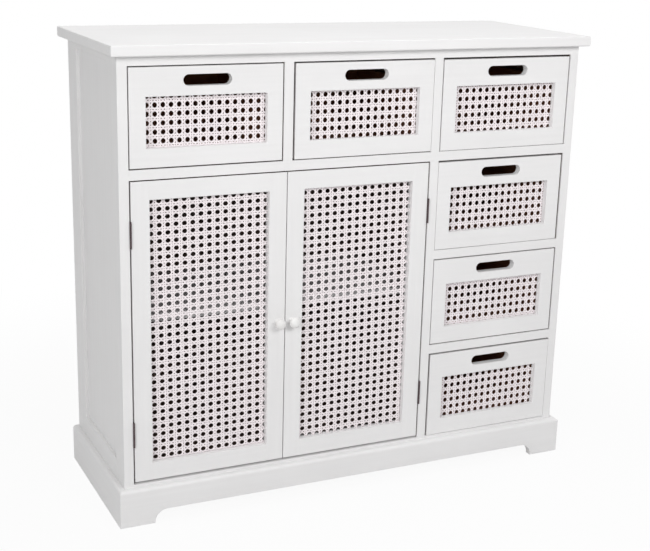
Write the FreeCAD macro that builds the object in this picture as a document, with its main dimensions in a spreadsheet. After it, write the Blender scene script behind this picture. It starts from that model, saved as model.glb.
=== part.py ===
import FreeCAD
import Part
import Sketcher
import math
import os
import re

# Painted sideboard: a row of three drawers, a column of three more, and a cupboard with two doors.
# The drawer fronts and the doors are frames filled with woven cane.
# x runs along the front to the right, y to the back and z up, in millimetres.
# The origin is on the floor, under the middle of the piece.

# Driving dimensions
DIMENSIONS = {
    # carcass
    "board": 15.0,
    "opening_width": 239.0,
    "opening_height": 147.5,
    "carcass_depth": 272.0,
    "back_thickness": 4.0,
    "deck_reveal": 4.0,
    "top_rail_height": 14.0,
    "rail_depth": 35.0,
    "runner_width": 12.0,
    # side frames
    "front_stile_width": 43.0,
    "rear_stile_width": 50.0,
    "side_top_rail_height": 12.0,
    "side_bottom_rail_height": 92.5,
    "side_panel_thickness": 6.0,
    "side_panel_recess": 5.0,
    "groove_depth": 6.0,
    # top
    "slab_thickness": 16.0,
    "slab_side_overhang": 11.5,
    "slab_front_overhang": 15.0,
    "slab_rear_overhang": 20.0,
    "slab_edge_radius": 3.0,
    # skirt round the foot
    "skirt_height": 60.0,
    "skirt_front_thickness": 12.0,
    "skirt_side_thickness": 10.5,
    "skirt_edge_radius": 5.0,
    "foot_width": 55.0,
    "foot_arch_height": 21.0,
    "foot_arch_radius": 20.0,
    # fronts
    "front_gap": 1.9,
    "front_edge_chamfer": 1.0,
    # doors
    "door_thickness": 16.0,
    "door_member_width": 28.0,
    "door_rebate_width": 8.0,
    "door_rebate_depth": 8.0,
    "door_bottom_gap": 3.8,
    "hinge_gap": 2.4,
    "meeting_gap": 1.4,
    # cane
    "cane_thickness": 2.0,
    "cane_pitch": 25.0,
    "cane_strand": 11.0,
    "cane_clearance": 0.5,
    # drawers
    "drawer_front_thickness": 12.0,
    "drawer_margin": 24.6,
    "drawer_bottom_margin": 27.8,
    "drawer_top_margin": 41.7,
    "drawer_rebate_width": 6.0,
    "drawer_rebate_depth": 2.8,
    "slot_width": 74.0,
    "slot_height": 16.5,
    "slot_drop": 19.8,
    "drawer_side_clearance": 2.0,
    "drawer_rear_clearance": 12.0,
    "drawer_wall": 10.0,
    "drawer_side_height": 105.0,
    "drawer_bottom_thickness": 4.0,
    "drawer_bottom_lift": 6.0,
    "runner_clearance": 0.3,
    # hinges
    "hinge_length": 40.0,
    "hinge_inset": 58.0,
    "leaf_thickness": 1.0,
    "leaf_width": 15.0,
    "knuckle_radius": 1.7,
    "knuckle_gap": 0.3,
    "knuckle_stand_off": 0.2,
    "hinge_pin_radius": 0.9,
    "hinge_pin_clearance": 0.05,
    # knobs
    "knob_offset": 11.5,
    "knob_drop": 2.95,
    "knob_neck_radius": 5.0,
    "knob_face_radius": 7.0,
    "knob_head_radius": 9.0,
    "knob_neck_length": 7.5,
    "knob_flare_length": 2.0,
    "knob_rim_length": 5.5,
    "knob_bevel_length": 3.0,
    # catches
    "catch_width": 40.0,
    "catch_depth": 14.0,
    "catch_height": 12.0,
    "catch_offset": 48.0,
    "catch_gap": 0.3,
    "strike_width": 30.0,
    "strike_height": 12.0,
    "strike_drop": 2.0,
    "strike_thickness": 1.0,
    # cupboard shelf
    "shelf_height": 260.0,
    "shelf_thickness": 12.0,
    "shelf_setback": 14.0,
    "shelf_clearance": 1.0,
    "shelf_pin_radius": 2.5,
    "shelf_pin_length": 16.0,
    "shelf_pin_depth": 8.0,
    "shelf_pin_clearance": 0.05,
    "shelf_pin_inset": 4.0,
}

# Sizes and places that follow from the driving dimensions
LAYOUT = {
    "carcass_width": "3 * opening_width + 4 * board",
    "inner_depth": "carcass_depth - back_thickness",
    "inner_width": "carcass_width - 2 * board",
    "knob_reach": "knob_neck_length + knob_flare_length + knob_rim_length + knob_bevel_length",
    "front_reach": "max(knob_reach; slab_front_overhang; skirt_front_thickness)",
    "front": "(front_reach - carcass_depth - slab_rear_overhang) / 2",
    "left": "-carcass_width / 2",
    "right": "carcass_width / 2",
    "inner_left": "left + board",
    "inner_right": "right - board",
    "deck_top": "skirt_height + deck_reveal",
    "column_height": "3 * opening_height + 2 * board",
    "drawer_deck_bottom": "deck_top + column_height",
    "drawer_deck_top": "drawer_deck_bottom + board",
    "top_rail_bottom": "drawer_deck_top + opening_height",
    "slab_bottom": "top_rail_bottom + top_rail_height",
    "opening_step": "opening_width + board",
    "opening_rise": "opening_height + board",
    "cupboard_width": "2 * opening_width + board",
    "partition_left": "inner_left + cupboard_width",
    "column_left": "partition_left + board",
    "side_rail_length": "carcass_depth - front_stile_width - rear_stile_width",
    "side_panel_height": "slab_bottom - side_top_rail_height - side_bottom_rail_height + 2 * groove_depth",
    "skirt_width": "carcass_width + 2 * skirt_side_thickness",
    "door_width": "(cupboard_width - 2 * hinge_gap - meeting_gap) / 2",
    "door_height": "column_height - front_gap - door_bottom_gap",
    "door_bottom": "deck_top + door_bottom_gap",
    "door_window_width": "door_width - 2 * door_member_width",
    "door_window_height": "door_height - 2 * door_member_width",
    "drawer_front_width": "opening_width - 2 * front_gap",
    "drawer_front_height": "opening_height - 2 * front_gap",
    "drawer_window_width": "drawer_front_width - 2 * drawer_margin",
    "drawer_window_height": "drawer_front_height - drawer_bottom_margin - drawer_top_margin",
    "drawer_box_width": "opening_width - 2 * drawer_side_clearance",
    "drawer_box_depth": "inner_depth - drawer_front_thickness - drawer_rear_clearance",
    "hinge_axis": "front - knuckle_radius - knuckle_stand_off",
    "knuckle_length": "(hinge_length - 2 * knuckle_gap) / 3",
    "shelf_top": "deck_top + shelf_height",
    "shelf_bottom": "shelf_top - shelf_thickness",
    "shelf_front": "front + door_thickness + shelf_setback",
    "shelf_pin_level": "shelf_bottom - shelf_pin_radius - shelf_pin_clearance",
    "shelf_pin_front": "door_thickness + shelf_setback + shelf_pin_inset",
    "shelf_pin_rear": "carcass_depth - rear_stile_width / 2",
}

# How far each drawer front sits to the right of its opening's middle and above it
SEATS = {
    "top_left": (0.0, -0.1),
    "top_middle": (1.6, -0.6),
    "top_right": (0.0, -1.3),
    "column_lower": (1.7, -1.3),
    "column_middle": (-0.3, -0.3),
    "column_upper": (-1.1, -1.3),
}

TINY = 0.001

doc = FreeCAD.newDocument("sideboard")
nodes = []
sheet_of = {name: "dims." for name in DIMENSIONS}
sheet_of.update({name: "layout." for name in LAYOUT})


def bound(text):
    """Returns an expression with each size's name led by the sheet that holds it."""
    return re.sub(r"[a-z_]+", lambda word: sheet_of.get(word.group(), "") + word.group(), text)


def fill_sheet(name, contents):
    """Adds a spreadsheet with one aliased cell for each size."""
    sheet = doc.addObject("Spreadsheet::Sheet", name)
    for row, (alias, content) in enumerate(contents.items(), start=1):
        cell = f"A{row}"
        sheet.set(cell, content)
        sheet.setAlias(cell, alias)
    doc.recompute()
    return sheet


dims = fill_sheet("dims", {name: str(value) for name, value in DIMENSIONS.items()})
layout = fill_sheet("layout", {name: "=" + bound(text) for name, text in LAYOUT.items()})


def value(text):
    """Returns an expression in the sizes' names as a number."""
    return float(layout.evalExpression(bound(text)))


def tie(piece, path, text):
    """Binds a property of a piece to an expression in the sizes' names."""
    piece.setExpression(path, bound(text))


def place(piece, x, y, z):
    """Binds where a piece sits."""
    for axis, text in zip("xyz", (x, y, z)):
        tie(piece, f"Placement.Base.{axis}", text)


def keep(piece):
    """Notes a piece as one of the sideboard's named nodes."""
    nodes.append(piece)
    return piece


def box(label, at, size):
    """Adds a plain board with its low corner at a place."""
    piece = doc.addObject("Part::Box", label)
    for path, text in zip(("Length", "Width", "Height"), size):
        tie(piece, path, text)
    place(piece, *at)
    return piece


def rod(label, at, radius, length, turn=FreeCAD.Rotation()):
    """Adds a round rod that starts at a place, along z unless turned."""
    piece = doc.addObject("Part::Cylinder", label)
    piece.Placement = FreeCAD.Placement(FreeCAD.Vector(), turn)
    tie(piece, "Radius", radius)
    tie(piece, "Height", length)
    place(piece, *at)
    return piece


def group(label, pieces):
    """Gathers like pieces, each still its own solid, into one node."""
    compound = doc.addObject("Part::Compound", label)
    compound.Links = pieces
    return keep(compound)


def new_body(label, at):
    """Starts a body at a place."""
    body = doc.addObject("PartDesign::Body", label)
    place(body, *at)
    return body


def new_sketch(body, role, lift="0"):
    """Adds a sketch on one of the body's origin planes, lifted along the plane's normal."""
    plane = next(item for item in body.Origin.OriginFeatures if item.Role == role)
    sketch = body.newObject("Sketcher::SketchObject", body.Name + "_sketch")
    sketch.AttachmentSupport = [(plane, "")]
    sketch.MapMode = "FlatFace"
    tie(sketch, "AttachmentOffset.Base.z", lift)
    return sketch


def measure(sketch, kind, where, text):
    """Adds a driving constraint to a sketch and binds it."""
    index = sketch.addConstraint(Sketcher.Constraint(kind, *where, value(text)))
    tie(sketch, f"Constraints[{index}]", text)


def measure_point(sketch, geometry, point, x, y):
    """Ties a point of a sketch to its two distances from the origin."""
    measure(sketch, "DistanceX", (-1, 1, geometry, point), x)
    measure(sketch, "DistanceY", (-1, 1, geometry, point), y)


def sketch_point(x, y):
    """Returns a point of a sketch from two expressions."""
    return FreeCAD.Vector(value(x), value(y), 0)


def outline(sketch, corners):
    """Draws a closed outline of straight lines through measured corners."""
    points = [sketch_point(*corner) for corner in corners]
    ends = points[1:] + points[:1]
    lines = [sketch.addGeometry(Part.LineSegment(*pair)) for pair in zip(points, ends)]
    for step, corner in enumerate(corners):
        sketch.addConstraint(Sketcher.Constraint("Coincident", lines[step - 1], 2, lines[step], 1))
        measure_point(sketch, lines[step], 1, *corner)


def rectangle(sketch, left, low, width, height):
    """Draws a rectangle from its low left corner and its two sizes."""
    far = f"{left} + {width}"
    high = f"{low} + {height}"
    outline(sketch, [(left, low), (far, low), (far, high), (left, high)])


def circle(sketch, x, y, radius):
    """Draws a circle."""
    ring = sketch.addGeometry(Part.Circle(sketch_point(x, y), FreeCAD.Vector(0, 0, 1), value(radius)))
    measure_point(sketch, ring, 3, x, y)
    measure(sketch, "Radius", (ring,), radius)


def stadium(sketch, x, y, width, height):
    """Draws a slot with round ends, from its middle and its two sizes."""
    reach = f"({width} - {height}) / 2"
    normal = FreeCAD.Vector(0, 0, 1)
    radius = value(f"{height} / 2")
    up = FreeCAD.Vector(0, radius, 0)
    near = sketch_point(f"{x} - {reach}", y)
    far = sketch_point(f"{x} + {reach}", y)
    near_circle = Part.Circle(near, normal, radius)
    far_circle = Part.Circle(far, normal, radius)
    near_arc = sketch.addGeometry(Part.ArcOfCircle(near_circle, math.pi / 2, 3 * math.pi / 2))
    far_arc = sketch.addGeometry(Part.ArcOfCircle(far_circle, -math.pi / 2, math.pi / 2))
    top = sketch.addGeometry(Part.LineSegment(near + up, far + up))
    base = sketch.addGeometry(Part.LineSegment(near - up, far - up))
    joints = [(near_arc, 1, top, 1), (top, 2, far_arc, 2), (far_arc, 1, base, 2), (base, 1, near_arc, 2)]
    for joint in joints:
        sketch.addConstraint(Sketcher.Constraint("Tangent", *joint))
    sketch.addConstraint(Sketcher.Constraint("Horizontal", top))
    sketch.addConstraint(Sketcher.Constraint("Horizontal", base))
    measure(sketch, "Radius", (near_arc,), f"{height} / 2")
    measure_point(sketch, near_arc, 3, f"{x} - {reach}", y)
    measure(sketch, "DistanceX", (near_arc, 3, far_arc, 3), f"{width} - {height}")


def extrude(body, kind, sketch, length, backwards=False):
    """Adds a Pad or a Pocket of a sketch to a body."""
    feature = body.newObject("PartDesign::" + kind, f"{body.Name}_{kind.lower()}")
    feature.Profile = sketch
    tie(feature, "Length", length)
    feature.Reversed = backwards
    return feature


def dress_edges(body, kind, path, feature, amount, wanted):
    """Adds a Fillet or a Chamfer to those edges of a body's last feature that a test picks."""
    doc.recompute()
    edges = enumerate(feature.Shape.Edges, start=1)
    names = [f"Edge{number}" for number, edge in edges if wanted(edge.BoundBox)]
    dressing = body.newObject("PartDesign::" + kind, f"{body.Name}_{kind.lower()}")
    dressing.Base = (feature, names)
    tie(dressing, path, amount)
    return dressing


def fillet(body, feature, radius, wanted):
    """Rounds those edges of a body's last feature that a test picks."""
    return dress_edges(body, "Fillet", "Radius", feature, radius, wanted)


def chamfer(body, feature, size, wanted):
    """Bevels those edges of a body's last feature that a test picks."""
    return dress_edges(body, "Chamfer", "Size", feature, size, wanted)


def front_board(label, at, width, height, thickness):
    """Starts a body that is a board standing in the front, with its face at the body's own y of 0."""
    body = new_body(label, at)
    sketch = new_sketch(body, "XZ_Plane")
    rectangle(sketch, "0", "0", width, height)
    return body, extrude(body, "Pad", sketch, thickness, backwards=True)


def cut_from_rear(body, thickness, depth, left, low, width, height):
    """Cuts a rectangular rebate into a front board from behind."""
    sketch = new_sketch(body, "XZ_Plane", lift=f"-{thickness}")
    rectangle(sketch, left, low, width, height)
    return extrude(body, "Pocket", sketch, depth, backwards=True)


def bore(body, y, z, lift, backwards=False):
    """Bores a blind hole for a shelf pin along x."""
    sketch = new_sketch(body, "YZ_Plane", lift=lift)
    circle(sketch, y, z, "shelf_pin_radius + shelf_pin_clearance")
    extrude(body, "Pocket", sketch, "shelf_pin_depth", backwards)


# Top
def make_top():
    body = new_body("top_panel", ("left - slab_side_overhang", "front - slab_front_overhang", "slab_bottom"))
    sketch = new_sketch(body, "XY_Plane")
    depth = "carcass_depth + slab_front_overhang + slab_rear_overhang"
    rectangle(sketch, "0", "0", "carcass_width + 2 * slab_side_overhang", depth)
    slab = extrude(body, "Pad", sketch, "slab_thickness")
    fillet(body, slab, "slab_edge_radius", lambda edge: edge.ZMin > TINY)
    keep(body)


# Side frames: grooved stiles and rails that hold a thin recessed panel
def grooved_member(label, at, role, width, length, groove_start, groove_far):
    """Makes a stile or rail with a groove for the side panel along one of its edges."""
    body = new_body(label, at)
    sketch = new_sketch(body, role)
    groove_end = f"{groove_start} + side_panel_thickness"
    if groove_far:
        floor = f"{width} - groove_depth"
        corners = [("0", "0"), ("board", "0"), ("board", width), (groove_end, width),
                   (groove_end, floor), (groove_start, floor), (groove_start, width), ("0", width)]
    else:
        corners = [("0", "0"), (groove_start, "0"), (groove_start, "groove_depth"),
                   (groove_end, "groove_depth"), (groove_end, "0"),
                   ("board", "0"), ("board", width), ("0", width)]
    outline(sketch, corners)
    extrude(body, "Pad", sketch, length, backwards=role == "XZ_Plane")
    return body


def make_side(side, x, groove_start, panel_x, holds_shelf):
    stile_y = "front + carcass_depth - rear_stile_width"
    rail_y = "front + front_stile_width"
    front_stile = grooved_member(f"{side}_front_stile", (x, "front", "0"), "XY_Plane",
                                 "front_stile_width", "slab_bottom", groove_start, True)
    rear_stile = grooved_member(f"{side}_rear_stile", (x, stile_y, "0"), "XY_Plane",
                                "rear_stile_width", "slab_bottom", groove_start, False)
    if holds_shelf:
        bore(front_stile, "shelf_pin_front", "shelf_pin_level", "board")
        bore(rear_stile, "shelf_pin_rear - carcass_depth + rear_stile_width", "shelf_pin_level", "board")
    keep(front_stile)
    keep(rear_stile)
    top_rail_at = (x, rail_y, "slab_bottom - side_top_rail_height")
    top_rail = grooved_member(f"{side}_side_top_rail", top_rail_at, "XZ_Plane",
                              "side_top_rail_height", "side_rail_length", groove_start, False)
    bottom_rail = grooved_member(f"{side}_side_bottom_rail", (x, rail_y, "0"), "XZ_Plane",
                                 "side_bottom_rail_height", "side_rail_length", groove_start, True)
    group(f"{side}_side_rails", [top_rail, bottom_rail])
    panel_at = (panel_x, f"{rail_y} - groove_depth", "side_bottom_rail_height - groove_depth")
    panel_size = ("side_panel_thickness", "side_rail_length + 2 * groove_depth", "side_panel_height")
    keep(box(f"{side}_side_panel", panel_at, panel_size))


# Decks, partitions, rails, runners and back
def make_upper_partition(side, number):
    """Makes a board between two top drawers, notched at its top front corner for the rail."""
    x = f"left + {number} * opening_step"
    body = new_body(f"{side}_upper_partition", (x, "front", "drawer_deck_top"))
    sketch = new_sketch(body, "YZ_Plane")
    full = "opening_height + top_rail_height"
    outline(sketch, [("0", "0"), ("inner_depth", "0"), ("inner_depth", full), ("rail_depth", full),
                     ("rail_depth", "opening_height"), ("0", "opening_height")])
    extrude(body, "Pad", sketch, "board")
    keep(body)


def make_lower_partition():
    """Makes the board between the cupboard and the column of drawers, bored for the shelf's pins."""
    body = new_body("lower_partition", ("partition_left", "front", "deck_top"))
    sketch = new_sketch(body, "YZ_Plane")
    rectangle(sketch, "0", "0", "inner_depth", "column_height")
    extrude(body, "Pad", sketch, "board")
    for depth in ("shelf_pin_front", "shelf_pin_rear"):
        bore(body, depth, "shelf_pin_level - deck_top", "0", backwards=True)
    keep(body)


def make_inner_boards():
    across = ("inner_width", "inner_depth", "board")
    keep(box("bottom_deck", ("inner_left", "front", "deck_top - board"), across))
    keep(box("drawer_deck", ("inner_left", "front", "drawer_deck_bottom"), across))
    keep(box("front_top_rail", ("inner_left", "front", "top_rail_bottom"),
             ("inner_width", "rail_depth", "top_rail_height")))
    keep(box("back_panel", ("inner_left", "front + inner_depth", "deck_top - board"),
             ("inner_width", "back_thickness", "slab_bottom - deck_top + board")))
    make_upper_partition("left", 1)
    make_upper_partition("right", 2)
    make_lower_partition()
    rails = []
    runners = []
    for level, name in ((1, "lower"), (2, "upper")):
        z = f"deck_top + {level} * opening_rise - board"
        rails.append(box(f"column_{name}_rail", ("column_left", "front", z),
                         ("opening_width", "rail_depth", "board")))
        runner_size = ("runner_width", "inner_depth - rail_depth", "board")
        for hand, x in (("left", "column_left"), ("right", "inner_right - runner_width")):
            runners.append(box(f"{name}_{hand}_runner", (x, "front + rail_depth", z), runner_size))
    group("column_rails", rails)
    group("drawer_runners", runners)


def make_shelf():
    shelf_size = ("cupboard_width - 2 * shelf_clearance",
                  "inner_depth - door_thickness - shelf_setback - shelf_clearance", "shelf_thickness")
    keep(box("cupboard_shelf", ("inner_left + shelf_clearance", "shelf_front", "shelf_bottom"), shelf_size))
    along_x = FreeCAD.Rotation(FreeCAD.Vector(0, 1, 0), 90)
    pins = []
    for hand, x in (("left", "inner_left - shelf_pin_depth"),
                    ("right", "partition_left + shelf_pin_depth - shelf_pin_length")):
        for end in ("front", "rear"):
            at = (x, f"front + shelf_pin_{end}", "shelf_pin_level")
            pins.append(rod(f"{hand}_{end}_shelf_pin", at, "shelf_pin_radius", "shelf_pin_length", along_x))
    group("shelf_pins", pins)


# Skirt with bracket feet at the front
def make_skirts():
    front_at = ("left - skirt_side_thickness", "front - skirt_front_thickness", "0")
    front_skirt = new_body("front_skirt", front_at)
    sketch = new_sketch(front_skirt, "XZ_Plane")
    arch_end = "skirt_width - foot_width"
    outline(sketch, [("0", "0"), ("foot_width", "0"), ("foot_width", "foot_arch_height"),
                     (arch_end, "foot_arch_height"), (arch_end, "0"), ("skirt_width", "0"),
                     ("skirt_width", "skirt_height"), ("0", "skirt_height")])
    skirt = extrude(front_skirt, "Pad", sketch, "skirt_front_thickness", backwards=True)
    arch = value("foot_arch_height")
    is_arch = lambda edge: abs(edge.ZMin - arch) < TINY and edge.XLength < TINY
    arched = fillet(front_skirt, skirt, "foot_arch_radius", is_arch)
    top = value("skirt_height") - TINY
    rear = value("skirt_front_thickness") - TINY
    fillet(front_skirt, arched, "skirt_edge_radius", lambda edge: edge.ZMin > top and edge.YMin < rear)
    keep(front_skirt)
    for side, x, outer in (("left", "left - skirt_side_thickness", 0.0),
                           ("right", "right", value("skirt_side_thickness"))):
        body = new_body(f"{side}_skirt", (x, "front", "0"))
        sketch = new_sketch(body, "XY_Plane")
        rectangle(sketch, "0", "0", "skirt_side_thickness", "carcass_depth")
        skirt = extrude(body, "Pad", sketch, "skirt_height")
        is_outer = lambda edge: edge.ZMin > top and abs(edge.XMin - outer) + abs(edge.XMax - outer) < TINY
        fillet(body, skirt, "skirt_edge_radius", is_outer)
        keep(body)


# Cane: a flat net with square gaps, held in a rebate behind a window
def flat_loop(left, low, width, height):
    """Returns a closed rectangle that stands in a plane of constant y."""
    turns = [(0, 0), (width, 0), (width, height), (0, height), (0, 0)]
    return Part.makePolygon([FreeCAD.Vector(left + across, 0, low + up) for across, up in turns])


def make_cane(label, window_at, window_width, window_height, rebate_width):
    """Makes a net that fills a window and laps into the rebate round it."""
    width = value(window_width)
    height = value(window_height)
    lap = value(f"{rebate_width} - cane_clearance")
    strand = value("cane_strand")
    columns = max(1, round(width / value("cane_pitch")))
    rows = max(1, round(height / value("cane_pitch")))
    step_x = width / columns
    step_z = height / rows
    loops = [flat_loop(-lap, -lap, width + 2 * lap, height + 2 * lap)]
    for column in range(columns):
        for row in range(rows):
            left = column * step_x + strand / 2
            low = row * step_z + strand / 2
            loops.append(flat_loop(left, low, step_x - strand, step_z - strand))
    net = doc.addObject("Part::Feature", label)
    sheet = Part.makeFace(loops, "Part::FaceMakerBullseye")
    net.Shape = sheet.extrude(FreeCAD.Vector(0, value("cane_thickness"), 0))
    place(net, *window_at)
    keep(net)


# Doors
def make_door_frame(side, x):
    """Makes two stiles and two rails, rebated behind for the cane and its beads."""
    opening = "door_window_height + 2 * door_rebate_width"
    inset = "door_member_width - door_rebate_width"
    stiles = []
    for hand, offset, rebate in (("left", "0", inset), ("right", "door_width - door_member_width", "0")):
        stile, _ = front_board(f"{side}_door_{hand}_stile", (f"{x} + {offset}", "front", "door_bottom"),
                               "door_member_width", "door_height", "door_thickness")
        cut_from_rear(stile, "door_thickness", "door_rebate_depth", rebate, inset,
                      "door_rebate_width", opening)
        stiles.append(stile)
    group(f"{side}_door_stiles", stiles)
    rails = []
    for level, rise, rebate in (("lower", "0", inset), ("upper", "door_height - door_member_width", "0")):
        rail, _ = front_board(f"{side}_door_{level}_rail",
                              (f"{x} + door_member_width", "front", f"door_bottom + {rise}"),
                              "door_window_width", "door_member_width", "door_thickness")
        cut_from_rear(rail, "door_thickness", "door_rebate_depth", "0", rebate,
                      "door_window_width", "door_rebate_width")
        rails.append(rail)
    group(f"{side}_door_rails", rails)


def make_door_beads(side, x):
    """Makes the four strips that fill the rebate behind the cane and hold it."""
    low_x = f"{x} + door_member_width - door_rebate_width"
    low_z = "door_bottom + door_member_width - door_rebate_width"
    y = "front + door_thickness - door_rebate_depth + cane_thickness"
    depth = "door_rebate_depth - cane_thickness"
    across = ("door_window_width + 2 * door_rebate_width", depth, "door_rebate_width")
    upright = ("door_rebate_width", depth, "door_window_height")
    rise = "door_window_height + door_rebate_width"
    reach = "door_window_width + door_rebate_width"
    group(f"{side}_door_beads", [
        box(f"{side}_lower_bead", (low_x, y, low_z), across),
        box(f"{side}_upper_bead", (low_x, y, f"{low_z} + {rise}"), across),
        box(f"{side}_left_bead", (low_x, y, f"{low_z} + door_rebate_width"), upright),
        box(f"{side}_right_bead", (f"{low_x} + {reach}", y, f"{low_z} + door_rebate_width"), upright),
    ])


def make_knob(side, x):
    """Turns a small round knob: a straight neck, a flared head and a bevelled face."""
    body = new_body(f"{side}_door_knob", (x, "front", "door_bottom + door_height / 2 - knob_drop"))
    sketch = new_sketch(body, "XY_Plane")
    shoulder = "-knob_neck_length"
    rim = f"{shoulder} - knob_flare_length"
    outline(sketch, [("0", "0"), ("knob_neck_radius", "0"), ("knob_neck_radius", shoulder),
                     ("knob_face_radius", shoulder), ("knob_head_radius", rim),
                     ("knob_head_radius", f"{rim} - knob_rim_length"), ("knob_face_radius", "-knob_reach"),
                     ("0", "-knob_reach")])
    turned = body.newObject("PartDesign::Revolution", body.Name + "_turned")
    turned.Profile = sketch
    turned.ReferenceAxis = (sketch, ["V_Axis"])
    turned.Angle = 360
    keep(body)


# Butt hinges
def make_leaf(label, x, z, plate_left, knuckles):
    """Makes one hinge leaf on its pin's axis, with knuckles at the given turns of the barrel."""
    body = new_body(label, (x, "hinge_axis", z))
    plate = new_sketch(body, "XY_Plane")
    rectangle(plate, plate_left, "0", "leaf_thickness", "front - hinge_axis + leaf_width")
    extrude(body, "Pad", plate, "hinge_length")
    barrel = new_sketch(body, "XY_Plane")
    circle(barrel, "0", "0", "knuckle_radius")
    extrude(body, "Pad", barrel, "hinge_length")
    room = "knuckle_radius + knuckle_gap"
    pitch = "(knuckle_length + knuckle_gap)"
    for turn in range(3):
        if turn in knuckles:
            continue
        relief = new_sketch(body, "YZ_Plane", lift=room)
        low = f"{turn} * {pitch} - knuckle_gap"
        rectangle(relief, f"-({room})", low, f"2 * ({room})", "knuckle_length + 2 * knuckle_gap")
        extrude(body, "Pocket", relief, f"2 * ({room})")
    hole = new_sketch(body, "XY_Plane")
    circle(hole, "0", "0", "hinge_pin_radius + hinge_pin_clearance")
    extrude(body, "Pocket", hole, "hinge_length", backwards=True)
    return body


def make_hinges(side, post, hand):
    """Makes a door's two hinges against a post; hand is 1 where the door lies to the right of it."""
    axis_x = f"{post} + {hand} * hinge_gap / 2"
    plate_gap = "(hinge_gap / 2 - leaf_thickness)"
    post_plate = "-hinge_gap / 2" if hand > 0 else plate_gap
    door_plate = plate_gap if hand > 0 else "-hinge_gap / 2"
    frame_leaves = []
    door_leaves = []
    pins = []
    for level, z in (("lower", "door_bottom + hinge_inset"),
                     ("upper", "door_bottom + door_height - hinge_inset - hinge_length")):
        name = f"{side}_{level}_hinge"
        frame_leaves.append(make_leaf(name + "_frame_leaf", axis_x, z, post_plate, (0, 2)))
        door_leaves.append(make_leaf(name + "_door_leaf", axis_x, z, door_plate, (1,)))
        pins.append(rod(name + "_pin", (axis_x, "hinge_axis", z), "hinge_pin_radius", "hinge_length"))
    group(f"{side}_hinge_frame_leaves", frame_leaves)
    group(f"{side}_hinge_door_leaves", door_leaves)
    group(f"{side}_hinge_pins", pins)


def make_catch(side, middle):
    """Makes a strike plate behind a door and returns the magnetic catch that stops it."""
    strike_at = (f"{middle} - strike_width / 2", "front + door_thickness",
                 "door_bottom + door_height - strike_drop - strike_height")
    keep(box(f"{side}_door_strike", strike_at, ("strike_width", "strike_thickness", "strike_height")))
    catch_at = (f"{middle} - catch_width / 2", "front + door_thickness + strike_thickness + catch_gap",
                "drawer_deck_bottom - catch_height")
    return box(f"{side}_catch", catch_at, ("catch_width", "catch_depth", "catch_height"))


def make_doors():
    left_x = "inner_left + hinge_gap"
    right_x = f"{left_x} + door_width + meeting_gap"
    catches = []
    for side, x, post, hand in (("left", left_x, "inner_left", 1), ("right", right_x, "partition_left", -1)):
        make_door_frame(side, x)
        make_door_beads(side, x)
        window_at = (f"{x} + door_member_width", "front + door_thickness - door_rebate_depth",
                     "door_bottom + door_member_width")
        make_cane(f"{side}_door_cane", window_at,
                  "door_window_width", "door_window_height", "door_rebate_width")
        from_meeting = f"{x} + door_width - " if hand > 0 else f"{x} + "
        make_knob(side, from_meeting + "knob_offset")
        make_hinges(side, post, hand)
        catches.append(make_catch(side, from_meeting + "catch_offset"))
    group("door_catches", catches)


# Drawers
def make_drawer(place_name, x, z):
    """Makes a drawer in the opening whose low left corner is at x and z."""
    name = place_name + "_drawer"
    aside, above = SEATS[place_name]
    front_x = f"{x} + front_gap + ({aside})"
    front_z = f"{z} + front_gap + ({above})"
    front, pad = front_board(f"{name}_front", (front_x, "front", front_z),
                             "drawer_front_width", "drawer_front_height", "drawer_front_thickness")
    chamfer(front, pad, "front_edge_chamfer", lambda edge: edge.YMax < TINY)
    window = new_sketch(front, "XZ_Plane")
    rectangle(window, "drawer_margin", "drawer_bottom_margin", "drawer_window_width", "drawer_window_height")
    extrude(front, "Pocket", window, "drawer_front_thickness")
    cut_from_rear(front, "drawer_front_thickness", "drawer_rebate_depth",
                  "drawer_margin - drawer_rebate_width", "drawer_bottom_margin - drawer_rebate_width",
                  "drawer_window_width + 2 * drawer_rebate_width",
                  "drawer_window_height + 2 * drawer_rebate_width")
    slot = new_sketch(front, "XZ_Plane")
    stadium(slot, "drawer_front_width / 2", "drawer_front_height - slot_drop", "slot_width", "slot_height")
    extrude(front, "Pocket", slot, "drawer_front_thickness")
    keep(front)

    window_at = (f"{front_x} + drawer_margin", "front + drawer_front_thickness - drawer_rebate_depth",
                 f"{front_z} + drawer_bottom_margin")
    make_cane(f"{name}_cane", window_at,
              "drawer_window_width", "drawer_window_height", "drawer_rebate_width")

    box_x = f"{x} + drawer_side_clearance"
    box_y = "front + drawer_front_thickness"
    box_z = f"{z} + runner_clearance"
    inner_x = f"{box_x} + drawer_wall"
    inner_width = "drawer_box_width - 2 * drawer_wall"
    wall = ("drawer_wall", "drawer_box_depth", "drawer_side_height")
    floor_rise = "drawer_bottom_lift + drawer_bottom_thickness"
    rear_wall = (inner_width, "drawer_wall", f"drawer_side_height - ({floor_rise})")
    group(f"{name}_box", [
        box(f"{name}_left_wall", (box_x, box_y, box_z), wall),
        box(f"{name}_right_wall", (f"{box_x} + drawer_box_width - drawer_wall", box_y, box_z), wall),
        box(f"{name}_bottom", (inner_x, box_y, f"{box_z} + drawer_bottom_lift"),
            (inner_width, "drawer_box_depth", "drawer_bottom_thickness")),
        box(f"{name}_rear_wall",
            (inner_x, f"{box_y} + drawer_box_depth - drawer_wall", f"{box_z} + {floor_rise}"), rear_wall),
    ])


def make_drawers():
    for column, name in enumerate(("top_left", "top_middle", "top_right")):
        make_drawer(name, f"inner_left + {column} * opening_step", "drawer_deck_top")
    for level, name in enumerate(("column_lower", "column_middle", "column_upper")):
        make_drawer(name, "column_left", f"deck_top + {level} * opening_rise")


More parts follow.
